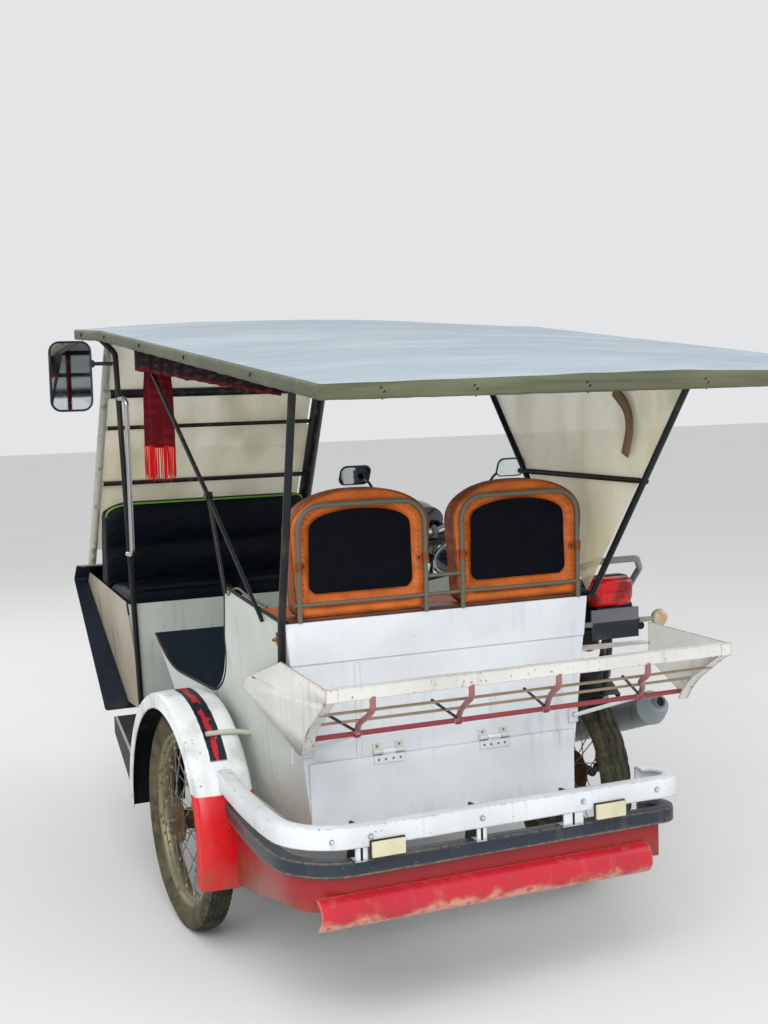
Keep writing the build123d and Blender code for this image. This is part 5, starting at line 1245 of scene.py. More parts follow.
def carried_over():
    """Finishes of the pieces whose solids stay as they are."""
    rows = (
        # node, finish, rounding in millimetres
        ("left_panel", tub_paint, 0.9),
        ("right_panel", tub_paint, 0.9),
        ("front_left_panel", post_panel_paint, 0.9),
        ("rear_panel", board_paint, 0.9),
        ("luggage_hatch", board_paint, 0.9),
        ("bench_box", tub_paint, 0.9),
        ("seat_box", tub_paint, 0.9),
        ("tub_floor", navy_paint, 0.9),
        ("nose_panel", navy_paint, 0.9),
        ("running_board", step_navy, 0.9),
        ("hatch_hinges", hinge_paint, 0.5),
        ("seat_ledge", wood, 2.0),
        ("seat_hoops", olive_steel, 0),
        ("chassis", black_paint, 0),
        ("stub_axle", steel, 0),
        ("roof_frame", black_paint, 0),
        ("folding_strut", black_paint, 0),
        ("shield_frame", windshield_paint, 0),
        ("shield_sheet", clear_sheet, 0),
        ("screen_frame", black_paint, 0),
        ("screen_sheet", clear_sheet, 0),
        ("grab_handle", stainless, 0),
        ("bike_frame", black_paint, 0),
        ("swing_arm", black_paint, 0),
        ("tail_cover", grey_plastic, 2.0),
        ("rear_mudguard", plate_plastic, 1.0),
        ("grab_rail", rail_grey, 0),
    )
    for node, finish, rounding in rows:
        dress(node, finish, rounding)


def tub_edge(y, z):
    """Place on the upper edge of the left panel."""
    return (tub_left(y, z) + 1.5, y, z)


def edge_trim():
    """Dark rubber trim on the cut edges of the side panels."""
    form = Form()
    peak = (-173, 919)
    top = [(REAR_Y + 6, 882), (-400, 899), (-190, 919.5)]
    form.tube([tub_edge(y, z + 2) for y, z in top], 4.6)
    scoop = [peak, (-158, 884), (-112, 778)]
    scoop += [(-112 + 210 * (1 - math.cos(a)), 778 - 166 * math.sin(a)) for a in angles(90, 12)[1:]]
    scoop += [(250, 609), (400, 606), (466, 614), (520, 632), (570, 660), (608, 688)]
    form.tube(bent([tub_edge(y, z) for y, z in scoop], 20, 3), 3.6)
    right_top = [(REAR_Y + 6, 880), peak, (120, 860), (560, 760), (1000, 777)]
    form.tube(bent([(2 * TUB_MID - tub_left(y, z) - 1.5, y, z + 1) for y, z in right_top], 30, 3), 3.8)
    form.tube([tub_edge(932, 700), tub_edge(932, 741)], 3.2)
    place_piece(form, "panel_edge_trim", [trim_rubber], smooth=60)


def tub_fittings():
    """Brackets, bolts, seams and small straps on the tub."""
    form = Form()
    for y, z in ((-560, 845), (-550, 770)):
        x = tub_left(y, z)
        form.slab([(x - 0.4, y - 26, z - 16), (x - 0.4, y + 20, z - 18), (x - 0.4, y + 24, z + 12),
                   (x - 0.4, y - 22, z + 18)], (-2.6, 0, 0), 0)
        form.bolt((x - 3, y - 4, z), (-1, 0, 0), 8, 1)
        form.tube([(x - 8, y - 4, z), (x - 22, y - 4, z)], 3.4, 1, 10)
        form.bolt((x - 14, y - 4, z), (-1, 0, 0), 5.5, 1)
    place_piece(form, "post_brackets", [rust, brass], rounding=0.4)
    seam = Form()
    seam.box(228, 243, REAR_Y - 1.4, REAR_Y - 0.05, 562, 780)
    for z in (600, 660, 720):
        seam.screw((235, REAR_Y - 1.4, z), 3.6, 3, 1.3)
    seam.box(66, 70, REAR_Y - 2, REAR_Y - 0.05, 560, 782)
    place_piece(seam, "rear_panel_lap", [board_paint], rounding=0.4)
    plate_screws, hatch_screws = Form(), Form()
    for hinge_x in HATCH_HINGES:
        for step in (-29, 29):
            plate_screws.screw((hinge_x + step, REAR_Y - 2.3, 576), 3.4, 3, 1.4)
        for step in (-28, -10, 10, 28):
            hatch_screws.screw((hinge_x + step, REAR_Y - 11, 546), 3.2, 2.8, 1.3)
    place_piece(plate_screws, "hinge_plate_screws", [steel], smooth=30)
    place_piece(hatch_screws, "hatch_screws", [steel], body="hatch", smooth=30)
    tabs = Form()
    for mid in SEAT_MIDS:
        for side in (-1, 1):
            x = mid + side * 160
            tabs.turned([(-11, 6.3), (-11, 8.4), (11, 8.4), (11, 6.3)], (x, REAR_Y - 3, 1012), (0, 0, 1),
                        steps=16)
            tabs.slab([(x, REAR_Y + 4, 1003), (x - side * 20, REAR_Y + 6, 1005),
                       (x - side * 20, REAR_Y + 6, 1018), (x, REAR_Y + 4, 1021)], (0, -2.4, 0), 0)
            tabs.bolt((x - side * 14, REAR_Y + 2.4, 1012), (0, -1, 0), 3.2, 1)
    place_piece(tabs, "hoop_tabs", [vinyl_brown, rust], rounding=0.4)


def running_board_line():
    """Worn cream line along the upper edge of the slanted running board."""
    form = Form()
    start, end = (-60, 352, 384), (31, 896, 384)
    form.slab([start, end, (end[0] + 9, end[1], 384), (start[0] + 9, start[1], 384)], (0, 0, 0.8))
    place_piece(form, "step_edge_line", [cream_paint])


def sheet_y(z):
    """Rear face of the sheets in front of the leaning windshield."""
    return 1369 - 340 * (z - 850) / 730


def windshield_sheets():
    """Clear sheets in front of the windshield's bars, above and below the frame's own sheet."""
    form = Form()
    left, right = 104, 826
    for low, high in ((872, 1120), (1283, 1588)):
        corners = ((left, low), (right, low), (right, high), (left, high))
        form.slab([(x, sheet_y(z), z) for x, z in corners], (0, 1.8, 0.84))
    place_piece(form, "windshield_sheets", [clear_sheet], rounding=0.3)


def screen_tape():
    """Curled strip of brown tape on the side screen."""
    form = Form()
    strip = curve([(SCREEN_X - 4, -724, 1392), (SCREEN_X - 5, -776, 1350), (SCREEN_X - 6, -790, 1300),
                   (SCREEN_X - 5, -768, 1238)])
    strip.append(strip[-1] * 2 - strip[-2])
    rows = []
    bulge = Vector((-1.5, 0, 0))
    for p, q in zip(strip, strip[1:]):
        side = Vector((0, -(q.z - p.z), q.y - p.y)).normalized() * 16
        rows.append([p - side, p - side * 0.3 + bulge, p + side * 0.3 + bulge, p + side])
    form.skin(rows)
    place_piece(form, "screen_tape", [brown_tape], thickness=0.8)


def strut_stay():
    """Thin bent rod from the strut's foot to the left seat's hoop."""
    form = Form()
    x = tub_left(-463, 880)
    form.tube(bent([(x - 2, -205, 905), (x + 6, -250, 930), (x + 8, -330, 914), (x + 10, -455, 905)], 40),
              3.2, 0, 10)
    place_piece(form, "strut_stay", [olive_steel], smooth=50)


# Side mirror

def rounded(x0, x1, z0, z1, corner, steps=6):
    """Outline of a rectangle with round corners, as (x, z)."""
    line = []
    for x, z, start in ((x1 - corner, z1 - corner, 0), (x0 + corner, z1 - corner, 1),
                        (x0 + corner, z0 + corner, 2), (x1 - corner, z0 + corner, 3)):
        line += [(x + corner * math.cos(a), z + corner * math.sin(a))
                 for a in [math.pi / 2 * (start + s / steps) for s in range(steps + 1)]]
    return line


def mirror_head(form, width, height, corner, place, frame_finish=0, glass_finish=1):
    """Mirror: a crowned back, a rim and an inset glass. place() gives a point for across, depth and up."""

    def ring(inset, depth):
        across, up = width / 2 - inset, height / 2 - inset
        return [place(x, depth, z) for x, z in rounded(-across, across, -up, up, max(corner - inset, 3))]

    shell = ((corner * 0.2, 5), (corner * 0.12, 1), (2, 0), (0, 3), (0, 12), (5, 19), (16, 22.5), (34, 24))
    rows = [ring(inset, depth) for inset, depth in shell]
    form.skin(rows, frame_finish, around=True)
    for row, finish in ((rows[-1], frame_finish), (ring(corner * 0.2, 4.6), glass_finish)):
        form.add(row, [tuple(range(len(row)))], finish)


def side_mirror():
    """Tall mirror on a bent arm, clamped to the front post."""
    form = Form()
    mirror_head(form, 134, 220, 34, lambda x, depth, z: (-55 + x, 917 + depth, 1468 + z))
    form.tube(bent([(10, 930, 1506), (40, 928, 1506), (78, 918, 1505)], 20), 6, 0, 12)
    form.plug([(-9, 10), (-5, 12), (5, 12), (9, 10)], (12, 930, 1506), (1, 0, 0), 0, 20)
    place_piece(form, "black_side_mirror", [black_plastic, glass], "side_mirror", smooth=40)


# Motorcycle

TRAIL = 85
HEAD_Y = FRONT_AXLE_Y + TRAIL
LEAN = math.radians(26.5)
AXLE_UP = AXLE_Z * math.cos(LEAN) + TRAIL * math.sin(LEAN)
LEG_BACK = -TRAIL * math.cos(LEAN) + AXLE_Z * math.sin(LEAN)
LOW_YOKE, TOP_YOKE = AXLE_UP + 492, AXLE_UP + 692
BAR_UP = TOP_YOKE + 18.3
COWL_BACK = LEG_BACK + 18.3
SEAT_RAIL_Z = AXLE_Z + 450
TANK_Z = SEAT_RAIL_Z + 30


def steer(x, ahead, up):
    """Place from the steering axis: across, ahead of it and up along it."""
    return (BIKE_X + x, HEAD_Y + ahead * math.cos(LEAN) - up * math.sin(LEAN),
            ahead * math.sin(LEAN) + up * math.cos(LEAN))


def round_box(form, x, ahead, up, half_x, half_ahead, half_up, corner, finish=0, place=steer, axis=0):
    """Block with round corners in the plane across one axis: 0 across, 1 ahead, 2 up."""
    halves = (half_x, half_ahead, half_up)
    first, second = [i for i in range(3) if i != axis]
    line = rounded(-halves[first], halves[first], -halves[second], halves[second], corner, 4)
    edge = min(corner * 0.4, halves[axis] * 0.5, 4)
    rows = []
    for shift, inset in ((-halves[axis], edge), (-halves[axis] + edge, 0), (halves[axis] - edge, 0),
                         (halves[axis], edge)):
        row = []
        for a, b in line:
            spot = [0, 0, 0]
            spot[axis] = shift
            spot[first] = a * (1 - inset / halves[first])
            spot[second] = b * (1 - inset / halves[second])
            row.append(place(x + spot[0], ahead + spot[1], up + spot[2]))
        rows.append(row)
    return form.solid(rows, finish)


def engine():
    """Single-cylinder engine: ribbed crankcase, side covers, finned barrel, carburettor and levers."""
    form = Form()
    outline = bent([(290, 400), (282, 300), (300, 258), (440, 257), (580, 262), (598, 320), (597, 410),
                    (560, 462), (460, 469), (330, 462), (290, 400)], 30, 4)
    case = [(p.x, p.y) for p in outline[:-1]]
    mid_y, mid_z = 440, 362
    rows = []
    for x, scale in ((-113, 0.9), (-108, 0.95), (-78, 0.97), (-76, 1), (-4, 1), (-3, 1.012), (3, 1.012),
                     (4, 1), (76, 1), (78, 0.97), (108, 0.95), (113, 0.9)):
        rows.append([(BIKE_X + x, mid_y + (y - mid_y) * scale, max(256.6, mid_z + (z - mid_z) * scale))
                     for y, z in case])
    form.solid(rows)
    for number in range(8):
        y = 330 + number * 32
        form.box(BIKE_X - 74, BIKE_X + 74, y, y + 4, 256.7, 268, 0)
    for side, y, z, radius, depth in ((-1, 380, 350, 78, 13), (1, 400, 350, 88, 10)):
        start = (BIKE_X + side * 112, y, z)
        out = (side, 0, 0)
        form.plug([(0, radius), (depth * 0.55, radius), (depth * 0.8, radius - 5), (depth, radius - 16),
                   (depth, radius * 0.5), (depth * 0.8, radius * 0.46)], start, out, 1, 64)
        for number in range(8):
            a = math.tau * (number + 0.5) / 8
            lug = Vector((BIKE_X + side * 111, y + (radius + 3) * math.cos(a),
                          z + (radius + 3) * math.sin(a)))
            form.plug([(0, 9), (depth * 0.72, 8)], lug, out, 1, 16)
            form.bolt(lug + Vector(out) * depth * 0.72, out, 3.4, 2)
    lean = math.radians(28)

    def barrel(x, y, z):
        return (BIKE_X + x, 520 + y * math.cos(lean) + z * math.sin(lean),
                520 - y * math.sin(lean) + z * math.cos(lean))

    round_box(form, 0, 0, -20, 50, 52, 92, 18, 0, barrel, 2)
    for number in range(11):
        z = -52 + number * 9
        width = 71 - 4 * (number % 2)
        round_box(form, 0, 0, z, width, width, 1.3, 16, 0, barrel, 2)
    round_box(form, 0, 0, 52, 60, 62, 9, 14, 0, barrel, 2)
    round_box(form, 0, 0, 76, 58, 60, 15, 20, 1, barrel, 2)
    for number in range(5):
        round_box(form, 0, -6 + number, 62 + number * 7, 70 - number * 2, 66, 1.4, 16, 0, barrel, 2)
    round_box(form, 0, 0, 102, 50, 52, 11, 22, 1, barrel, 2)
    for x in (-38, 38):
        for y in (-40, 40):
            form.bolt(barrel(x, y, 113), Vector(barrel(0, 0, 1)) - Vector(barrel(0, 0, 0)), 4.2, 2)
    form.plug([(0, 26), (8, 26), (10, 22)], barrel(56, 0, 78), (1, 0, 0), 1, 32)
    form.turned([(0, CORE), (0, 7), (16, 7), (18, 10), (34, 9), (36, CORE)], barrel(-56, 0, 78), (-1, 0, 0),
                3, 20)
    intake = bent([barrel(0, -58, 64), barrel(0, -92, 64), (BIKE_X, 400, 600), (BIKE_X, 372, 600)], 24)
    form.tube(intake, 19, 3, 20)
    form.plug([(0, 27), (6, 28), (40, 28), (46, 24), (60, 24)], (BIKE_X, 412, 598), (0, -1, 0.1), 1)
    form.plug([(0, 20), (26, 20), (32, 12)], (BIKE_X, 388, 590), (0, 0, -1), 1)
    form.plug([(0, 22), (18, 22), (24, 8), (40, 6)], (BIKE_X, 388, 606), (0, 0, 1), 3)
    gear_lever = bent([(BIKE_X - 126, 300, 300), (BIKE_X - 127, 250, 292), (BIKE_X - 127, 236, 290)], 10)
    form.tube(gear_lever, 5, 2, 10)
    kick = bent([(BIKE_X + 116, 330, 330), (BIKE_X + 126, 330, 330), (BIKE_X + 128, 306, 420),
                 (BIKE_X + 132, 300, 446), (BIKE_X + 172, 300, 448)], 16)
    form.tube(kick, 6.5, 2, 12)
    place_piece(form, "finned_engine", [cast_grey, cast_cover, steel, black_plastic], "engine",
                smooth=38)


def tank_top(y):
    """Height of the tank's top line."""
    t = (y - 172) / 388
    return TANK_Z + 135 - 5 * t + 45 * math.sin(math.pi * t) ** 0.9


def fuel_tank():
    """Pressed tank with a tunnel underneath, a filler cap and a tap."""
    form = Form()
    rows = []
    for i in range(49):
        s = closing_in(i, 48)
        y = 368 + 242 * s
        low = TANK_Z + 3 + 26 * (y - 124) / 488
        full = fullness(s, 5) ** 0.32
        high = low + (tank_top(min(max(y, 176), 556)) - low) * max(full, 0.02)
        half = 116 * max(0.02, fullness(s, 4.5)) ** 0.4 * (0.86 + 0.14 * math.sin(math.pi * (y - 90) / 560))
        row = []
        for k in range(40):
            a = math.tau * k / 40
            c, n = math.cos(a), math.sin(a)
            x = half * math.copysign(abs(c) ** 0.72, c)
            z = (low + high) / 2 + (high - low) / 2 * math.copysign(abs(n) ** (0.86 if n > 0 else 0.5), n)
            if n < 0 and abs(x) < 22:
                z += 16
            row.append((BIKE_X + x, y, z))
        rows.append(row)
    form.solid(rows)
    form.plug([(0, 33), (3, 35), (9, 35), (12, 31), (12, 12), (15, 10)], (BIKE_X, 330, TANK_Z + 172),
              (0, 0.02, 1), 1, 40)
    form.plug([(0, 9), (26, 9), (28, 5)], (BIKE_X + 36, 230, TANK_Z + 12), (0, 0, -1), 1, 16)
    place_piece(form, "pressed_fuel_tank", [bike_paint, chrome], "fuel_tank", smooth=60)


def bike_seat():
    """Long seat with a crowned top, a cross seam, piping and a strap."""
    form = Form()
    edge = Form()
    columns = 40
    piping_left, piping_right = [], []
    rows = []
    for i in range(57):
        s = closing_in(i, 56)
        y = -96 + 200 * s
        tail = (-y - 60) / 224
        top = 834 - 6 * (y + 60) / 160 if y > -60 else 840 + 20 * tail
        low = 772 - 25 * min(1, max(0, (60 - y) / 120))
        full = fullness(s, 9) ** 0.4
        half = (110 if y < -40 else 110 - 26 * ((y + 40) / 144) ** 1.3) * (0.965 + 0.035 * full)
        row = []
        for k in range(columns + 1):
            u = closing_in(k, columns)
            crown = fullness(u, 6) ** 0.45
            z = low + 22 + (top - 9 - low - 22) * full * crown + 8 * (1 - u * u) * full
            z -= 5 * math.exp(-((y + 74) / 6) ** 2) * full
            z += uneven(u * 2.2, y / 50, 9) * 2.4 * full * crown
            row.append((BIKE_X + half * u * (1 - 0.02 * (1 - crown)), y, z))
        row += [(BIKE_X + half * share, y, low + rise)
                for share, rise in ((0.985, 12), (0.95, 1), (0, 0.6), (-0.95, 1), (-0.985, 12))]
        rows.append(row)
        if abs(s) < 0.985:
            piping_left.append((BIKE_X - half, y, low + 22))
            piping_right.append((BIKE_X + half, y, low + 22))
    form.solid(rows)
    made = place_piece(form, "padded_bike_seat", [bike_vinyl], "bike_seat", smooth=80)
    for path in (piping_left, piping_right):
        edge.tube(path, 2.6, 0, 8)
    strap = []
    for k in range(25):
        u = closing_in(k, 24)
        strap.append((BIKE_X + 112.5 * u, -40, 836.5 + 5 * (1 - u * u) - 66 * abs(u) ** 14))
    rows = [[(x, y - 13, z), (x, y - 13, z + 2.4), (x, y + 13, z + 2.4), (x, y + 13, z)]
            for x, y, z in strap]
    edge.solid(rows)
    place_piece(edge, "bike_seat_piping", [black_plastic], smooth=70)


def tail_lamp():
    """Domed red lens in a dark rim, with two upright ribs."""
    form = Form()

    def ring(inset, y):
        line = rounded(-73 + inset, 73 - inset, 800 + inset, 887 - inset * 0.9, max(27 - inset * 0.6, 6), 7)
        return [(BIKE_X + x * (1 - 0.10 * (1 - (z - 800) / 87)), y, z) for x, z in line]

    rim = ((0, -306), (0, -329), (2.5, -332), (4, -331))
    dome = ((3.5, -330), (4, -342), (6, -350), (11, -357), (20, -362), (30, -364.5), (40, -365.6))
    form.solid([ring(inset, y) for inset, y in rim], 1)
    form.solid([ring(inset, y) for inset, y in dome])
    for x in (-26, 26):
        form.box(BIKE_X + x - 1, BIKE_X + x + 1, -365.4, -352, 826, 858, 0)
    place_piece(form, "domed_tail_lamp", [red_lens, black_plastic], "tail_lamp", smooth=50)


def indicators():
    """Round turn lamps on short stalks."""
    form = Form()
    for side in (-1, 1):
        x = BIKE_X + side * 145
        form.tube([(BIKE_X + side * 75.3, -360, 762), (x - side * 14, -360, 762)], [8, 5.5], 0, 14)
        cup = [(0, CORE), (0, 14), (5, 21), (10, 23.5), (16, 24), (16, 22)]
        dome = [(15, 22.8), (19, 23), (25, 20.5), (30, 14.5), (33.4, 6), (33.8, CORE)]
        for finish, profile in enumerate((cup, dome)):
            form.turned(profile, (x, -343, 762), (0, -1, 0), finish, 36)
    place_piece(form, "turn_lamps", [dusty_cup, amber_lens], "indicators", smooth=45)


def muffler():
    """Silencer with rolled seams, a heat guard, its bracket and the exhaust pipe from the head."""
    form = Form()
    front, end = Vector((1266, 190, 336)), Vector((1262, -290, 496))
    span = end - front
    length = span.length
    ahead = span.normalized()
    form.plug([(-38, 15), (-10, 22), (36, 45), (40, 47.5), (44, 46), (length * 0.5, 46.6), (length - 6, 46),
               (length - 3, 48), (length + 3, 48), (length + 5, 46), (length + 34, 34), (length + 50, 25),
               (length + 55, 20)], front, ahead, 0, 56)
    tip = end + ahead * 20 + Vector((-9, 0, 9))
    form.turned([(0, 15), (0, 17), (42, 17), (44, 16), (44, 14), (42, 13.5), (6, 13.5)], tip, ahead, 1, 28)
    form.plug([(36, 13.5), (37, 13.5)], tip, ahead, 2, 28)
    guard = []
    for i in range(21):
        along = 70 + (length - 150) * i / 20
        row = []
        for k in range(11):
            a = math.radians(-52 + 104 * k / 10)
            spread = 50.0 if 0 < k < 10 and 0 < i < 20 else 48.2
            row.append(front + ahead * along + Vector((math.cos(a), math.sin(a) * 0.32, math.sin(a) * 0.95))
                       * spread * (0.955 if abs(a) > 0.8 else 1))
        guard.append(row)
    form.skin(guard, 1)
    for along in (96, length - 106):
        form.bolt(front + ahead * along + Vector((49.5, 0, 0)), (1, 0, 0), 4.5, 3)
    start = Vector((1124, 589.4, 494.4))
    pipe = bent([start, (1124, 642.4, 466.2), (1220, 690, 310), (1252, 590, 218), (1256, 300, 218),
                 (1266.3, 224.1, 324.6)], 90, 10)
    form.tube(pipe, 13, 3, 20)
    out_of_head = (0, 0.8829, -0.4695)
    form.turned([(0, 13.5), (0, 24), (7, 24), (7, 13.5)], start, out_of_head, 1, 24)
    form.slab([(1214, -60, 470), (1214, -20, 452), (1214, -110, 640), (1214, -140, 650)], (4, 0, 0), 2)
    place_piece(form, "dusty_muffler",
                [muffler_paint, muffler_shield, black_paint, burnt_pipe], "muffler", smooth=45)


def shock_absorbers():
    """Coil springs over their dampers, with covers and rubber eyes."""
    form = Form()
    for side in (-1, 1):
        x = BIKE_X + side * 92
        foot, head = Vector((x, -128, 318)), Vector((x, -177, 686))
        ahead = (head - foot).normalized()
        length = (head - foot).length
        form.turned([(-12, 6), (0, 13), (40, 13), (44, 17.5), (50, 17.5), (50, 13)], foot, ahead, 1, 24)
        form.turned([(50, 12), (length - 60, 12)], foot, ahead, 1, 24, closed=False)
        form.turned([(length - 112, 13), (length - 112, 17.6), (length - 20, 17.8), (length - 8, 12),
                     (length, 8)], foot, ahead, 1, 24)
        out = ahead.orthogonal().normalized()
        other = ahead.cross(out)
        turns, steps = 15, 14
        path = []
        for s in range(turns * steps + 1):
            a = math.tau * s / steps
            path.append(foot + ahead * (52 + (length - 166) * s / (turns * steps))
                        + (out * math.cos(a) + other * math.sin(a)) * 15.2)
        form.tube(path, 2.6, 0, 8)
        for centre, radius in (((x, -180, 700), 12), ((x, -126, 298), 13.6)):
            form.turned([(-11, 6), (-11, radius), (11, radius), (11, 6)], centre, (1, 0, 0), 2, 24)
            form.bolt(Vector(centre) + Vector((side * 11, 0, 0)), (side, 0, 0), 7, 1)
        form.tube([(BIKE_X + side * 75.4, -126, 298), (x + side * 10, -126, 298)], 7, 1, 14)
    place_piece(form, "coil_shocks", [chrome, steel, black_plastic], "shock_absorbers", smooth=45)


def fork():
    """Telescopic fork: cast sliders, chromed tubes, dust seals, two yokes and the axle."""
    form = Form()
    for side in (-1, 1):
        foot = Vector(steer(side * 84, LEG_BACK, AXLE_UP))
        axis = (Vector(steer(side * 84, LEG_BACK, AXLE_UP + 1)) - foot).normalized()
        slider = [(-19, CORE), (-19, 12), (-14, 16.8), (250, 16.8), (254, 14.5)]
        dust_seal = [(250, 12), (250, 16.9), (268, 16), (286, 13)]
        collar = [(478, 12), (478, 16.6), (506, 16.6), (506, 12)]
        cap = [(678, 12), (678, 16.6), (712, 16.6), (718, 12), (720, CORE)]
        tube = [(268, 12.2), (716, 12.2)]
        for profile, finish in ((slider, 0), (dust_seal, 3), (tube, 1), (collar, 2), (cap, 2)):
            form.turned(profile, foot, axis, finish, 28, closed=profile is not tube)
        form.bolt(steer(side * 100, LEG_BACK, AXLE_UP), (side, 0, 0), 8, 1)
    for up in (LOW_YOKE, TOP_YOKE):
        round_box(form, 0, (COWL_BACK - 27) / 2, up, 103, (COWL_BACK + 25) / 2, 10.6, 22, 2, steer, 2)
    form.tube([steer(-84, LEG_BACK, AXLE_UP), steer(84, LEG_BACK, AXLE_UP)], 8, 1, 16)
    place_piece(form, "telescopic_fork", [cast_grey, chrome, black_paint, black_plastic], "fork",
                "steering", smooth=42)


def handlebar():
    """Raised bar with grips, levers, switch blocks and two mirrors."""
    form = Form()
    bends = ((-333, -62, 112), (-140, 10, 96), (-66, 0, 16), (66, 0, 16), (140, 10, 96), (333, -62, 112))
    path = bent([steer(x, ahead, BAR_UP + up) for x, ahead, up in bends], 46, 8)
    form.tube(path, 11, 0, 20)
    round_box(form, 0, 0, BAR_UP + 3, 42, 14, 9, 5, 1)
    for x in (-30, 30):
        round_box(form, x, 0, BAR_UP + 18, 11, 16, 13, 5, 1)
        form.bolt(steer(x, 9, BAR_UP + 30), (0, -math.sin(LEAN), math.cos(LEAN)), 4, 0)
    for side in (-1, 1):
        inner = Vector(steer(side * 140, 10, BAR_UP + 96))
        outer = Vector(steer(side * 333, -62, BAR_UP + 112))
        out = (outer - inner).normalized()
        grip = [(0, 11.2)]
        for number in range(15):
            start = 2 + number * 7.6
            grip += [(start, 16.5), (start + 4.6, 16.5), (start + 5.4, 15.2), (start + 7, 15.2)]
        grip += [(118, 19), (122, 18), (123, CORE)]
        form.turned(grip, outer - out * 121, out, 2, 28)
        centre = outer - out * 142
        form.turned([(-18, 12), (-18, 18), (16, 19), (18, 12)], centre, out, 3, 24)
        lever_root = centre + Vector((0, 34, 2))
        form.tube([centre + Vector((0, 12, 0)), lever_root], [9, 7], 3, 12)
        lever = curve([lever_root + out * along + Vector((0, ahead, up))
                       for along, ahead, up in ((0, 0, 0), (40, 14, 0), (100, 8, -4), (150, 0, -2))], 6)
        form.tube(lever, [5] * (len(lever) - 1) + [7], 1, 10)
        stem = bent([steer(side * 190, 0, BAR_UP + 104), steer(side * 206, 18, BAR_UP + 158),
                     steer(side * 232, 30, BAR_UP + 206), steer(side * 268, 30, BAR_UP + 232)], 24)
        form.tube(stem, 4.6, 3, 12)
        mirror_head(form, 108, 70, 22,
                    lambda x, depth, z: steer(side * 290 + x, 22 + depth * 0.66, BAR_UP + 236 + z), 3, 4)
    place_piece(form, "bar_with_controls",
                [chrome, cast_grey, grip_rubber, black_plastic, glass], "handlebar", "steering")


def headlamp_cowl():
    """Cowl round the headlamp, with its rim and ribbed glass."""
    form = Form()

    def ring(ahead, width, height, corner, drop=22.0):
        line = rounded(-width / 2, width / 2, -height / 2, height / 2, corner, 8)
        return [steer(x, COWL_BACK + ahead, TOP_YOKE - drop + z) for x, z in line]

    cowl = ((0, 196, 208, 68), (3, 203, 215, 69), (34, 197, 208, 72), (64, 188, 198, 75),
            (84, 168, 176, 72), (92, 158, 166, 70, 24))
    rim = ((90, 160, 168, 70, 24), (97, 160, 168, 70, 24), (101, 152, 158, 70, 25), (99, 144, 150, 68, 25))
    dome = ((98, 146, 152, 68, 25), (102, 128, 134, 60, 25), (104.6, 92, 96, 44, 25),
            (105.6, 40, 42, 19, 25))
    form.solid([ring(*sizes) for sizes in cowl])
    form.skin([ring(*sizes) for sizes in rim], 1, around=True)
    form.solid([ring(*sizes) for sizes in dome], 2)
    place_piece(form, "headlamp_with_cowl", [bike_paint, chrome, clear_lens],
                "headlamp_cowl", "steering", smooth=45)


def front_mudguard():
    """Front mudguard with rolled edges, its stays and the lugs that hold it to the fork."""
    form = Form()
    section = [(-51, 291), (-52, 289.5), (-49.5, 289.5), (-49, 291), (-49, 307), (-46, 309.5), (0, 313.5),
               (46, 309.5), (49, 307), (49, 291), (49.5, 289.5), (52, 289.5), (51.5, 291), (52, 308),
               (50, 311), (40, 313.6), (0, 316.8), (-40, 313.6), (-50, 311), (-52, 308)]
    rows = []
    for step in range(73):
        angle = math.radians(28 + 144 * step / 72)
        trim = 0.995 if step in (0, 72) else 1
        rows.append([(BIKE_X + x * trim, FRONT_AXLE_Y + r * math.cos(angle), AXLE_Z + r * math.sin(angle))
                     for x, r in section])
    form.solid(rows)
    for side in (-1, 1):
        for angle in (58, 158):
            a = math.radians(angle)
            top = (BIKE_X + side * 54, FRONT_AXLE_Y + 300 * math.cos(a), AXLE_Z + 300 * math.sin(a))
            low = steer(side * 69, LEG_BACK, AXLE_UP + (60 if angle > 90 else 190))
            form.tube(bent([top, (BIKE_X + side * 60, (top[1] + low[1]) / 2, (top[2] + low[2]) / 2), low],
                           30), 3.6, 1, 10)
        round_box(form, side * 58, LEG_BACK, AXLE_UP + 301, 8.6, 13, 7, 3, 0)
    place_piece(form, "front_mudguard_sheet", [bike_paint, chrome], "front_mudguard",
                "steering", smooth=45)


def foot_rubbers():
    """Ribbed rubbers on the foot bar."""
    form = Form()
    for side in (-1, 1):
        inner, outer = Vector((BIKE_X + side * 150, 330, 251)), Vector((BIKE_X + side * 249, 330, 258))
        out = (outer - inner).normalized()
        profile = [(0, 10.2)]
        for number in range(9):
            start = 1 + number * 10.6
            profile += [(start, 15), (start + 6.6, 15), (start + 7.6, 13.6), (start + 9.6, 13.6)]
        profile += [(98, 15), (99, 10)]
        form.turned(profile, inner, out, 0, 20)
    place_piece(form, "foot_rubbers", [grip_rubber], smooth=40)


# Camera, floor and light

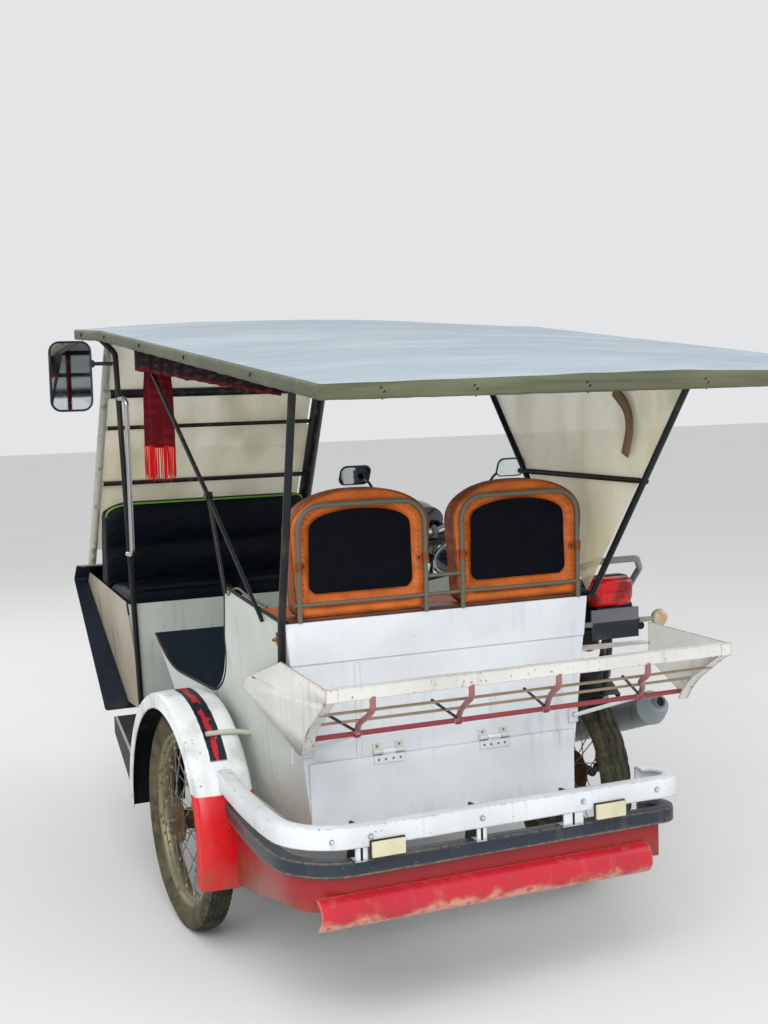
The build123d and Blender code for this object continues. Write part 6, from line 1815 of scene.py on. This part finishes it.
def photo_camera():
    """Camera behind the left of the vehicle, at the height of a standing person's eyes."""
    right = Vector((0.9094, -0.4149, -0.0263)).normalized()
    forward = Vector((0.4117, 0.9073, -0.0866)).normalized()
    right = (right - forward * right.dot(forward)).normalized()
    up = right.cross(forward)
    data = bpy.data.cameras.new("photo_camera")
    data.sensor_fit = "AUTO"
    data.sensor_width = 36
    data.lens = 52.56
    data.clip_end = 100
    camera = bpy.data.objects.new("photo_camera", data)
    turn = Matrix((right, up, -forward)).transposed().to_4x4()
    camera.matrix_world = Matrix.Translation((-1.790, -3.974, 1.425)) @ turn
    bpy.context.scene.collection.objects.link(camera)
    bpy.context.scene.camera = camera


def studio():
    """Pale floor, a plain pale world and three soft lamps."""
    ground = bpy.data.meshes.new("floor")
    ground.from_pydata([(-30, -30, 0), (30, -30, 0), (30, 30, 0), (-30, 30, 0)], [], [(0, 1, 2, 3)])
    floor = bpy.data.objects.new("floor", ground)
    bpy.context.scene.collection.objects.link(floor)
    skin = Finish("floor_paper", Roughness=0.9)
    paper = skin.mix((226, 226, 224), (220, 220, 218), skin.cloud(900))
    ground.materials.append(skin.spread(Base_Color=paper))
    world = bpy.data.worlds.new("pale_room")
    bpy.context.scene.world = world
    world.use_nodes = True
    world.node_tree.nodes["Background"].inputs["Color"].default_value = (0.97, 0.98, 1.0, 1)
    world.node_tree.nodes["Background"].inputs["Strength"].default_value = 0.8
    for name, place, size, power in (
        ("sky_lamp", (-2.8, -4.8, 4.2), 3.8, 250),
        ("side_lamp", (4.6, -2.0, 3.6), 3.0, 60),
        ("front_lamp", (-1.5, 5.0, 4.0), 3.0, 60),
    ):
        data = bpy.data.lights.new(name, "AREA")
        data.size = size
        data.energy = power
        lamp = bpy.data.objects.new(name, data)
        lamp.location = place
        lamp.rotation_mode = "QUATERNION"
        lamp.rotation_quaternion = (Vector((0, 0, 0.7)) - Vector(place)).to_track_quat("-Z", "Y")
        bpy.context.scene.collection.objects.link(lamp)
    bpy.context.scene.view_settings.view_transform = "Standard"


for build in (photo_camera, studio, wheels, canopy, pelmet, hanging_scarf, rear_seats, bench, rear_rails,
              side_fender, luggage_rack, carried_over, edge_trim, tub_fittings, running_board_line,
              screen_tape, windshield_sheets, strut_stay, side_mirror, engine, fuel_tank, bike_seat,
              tail_lamp, indicators, muffler, shock_absorbers, fork, handlebar, headlamp_cowl,
              front_mudguard, foot_rubbers):
    build()
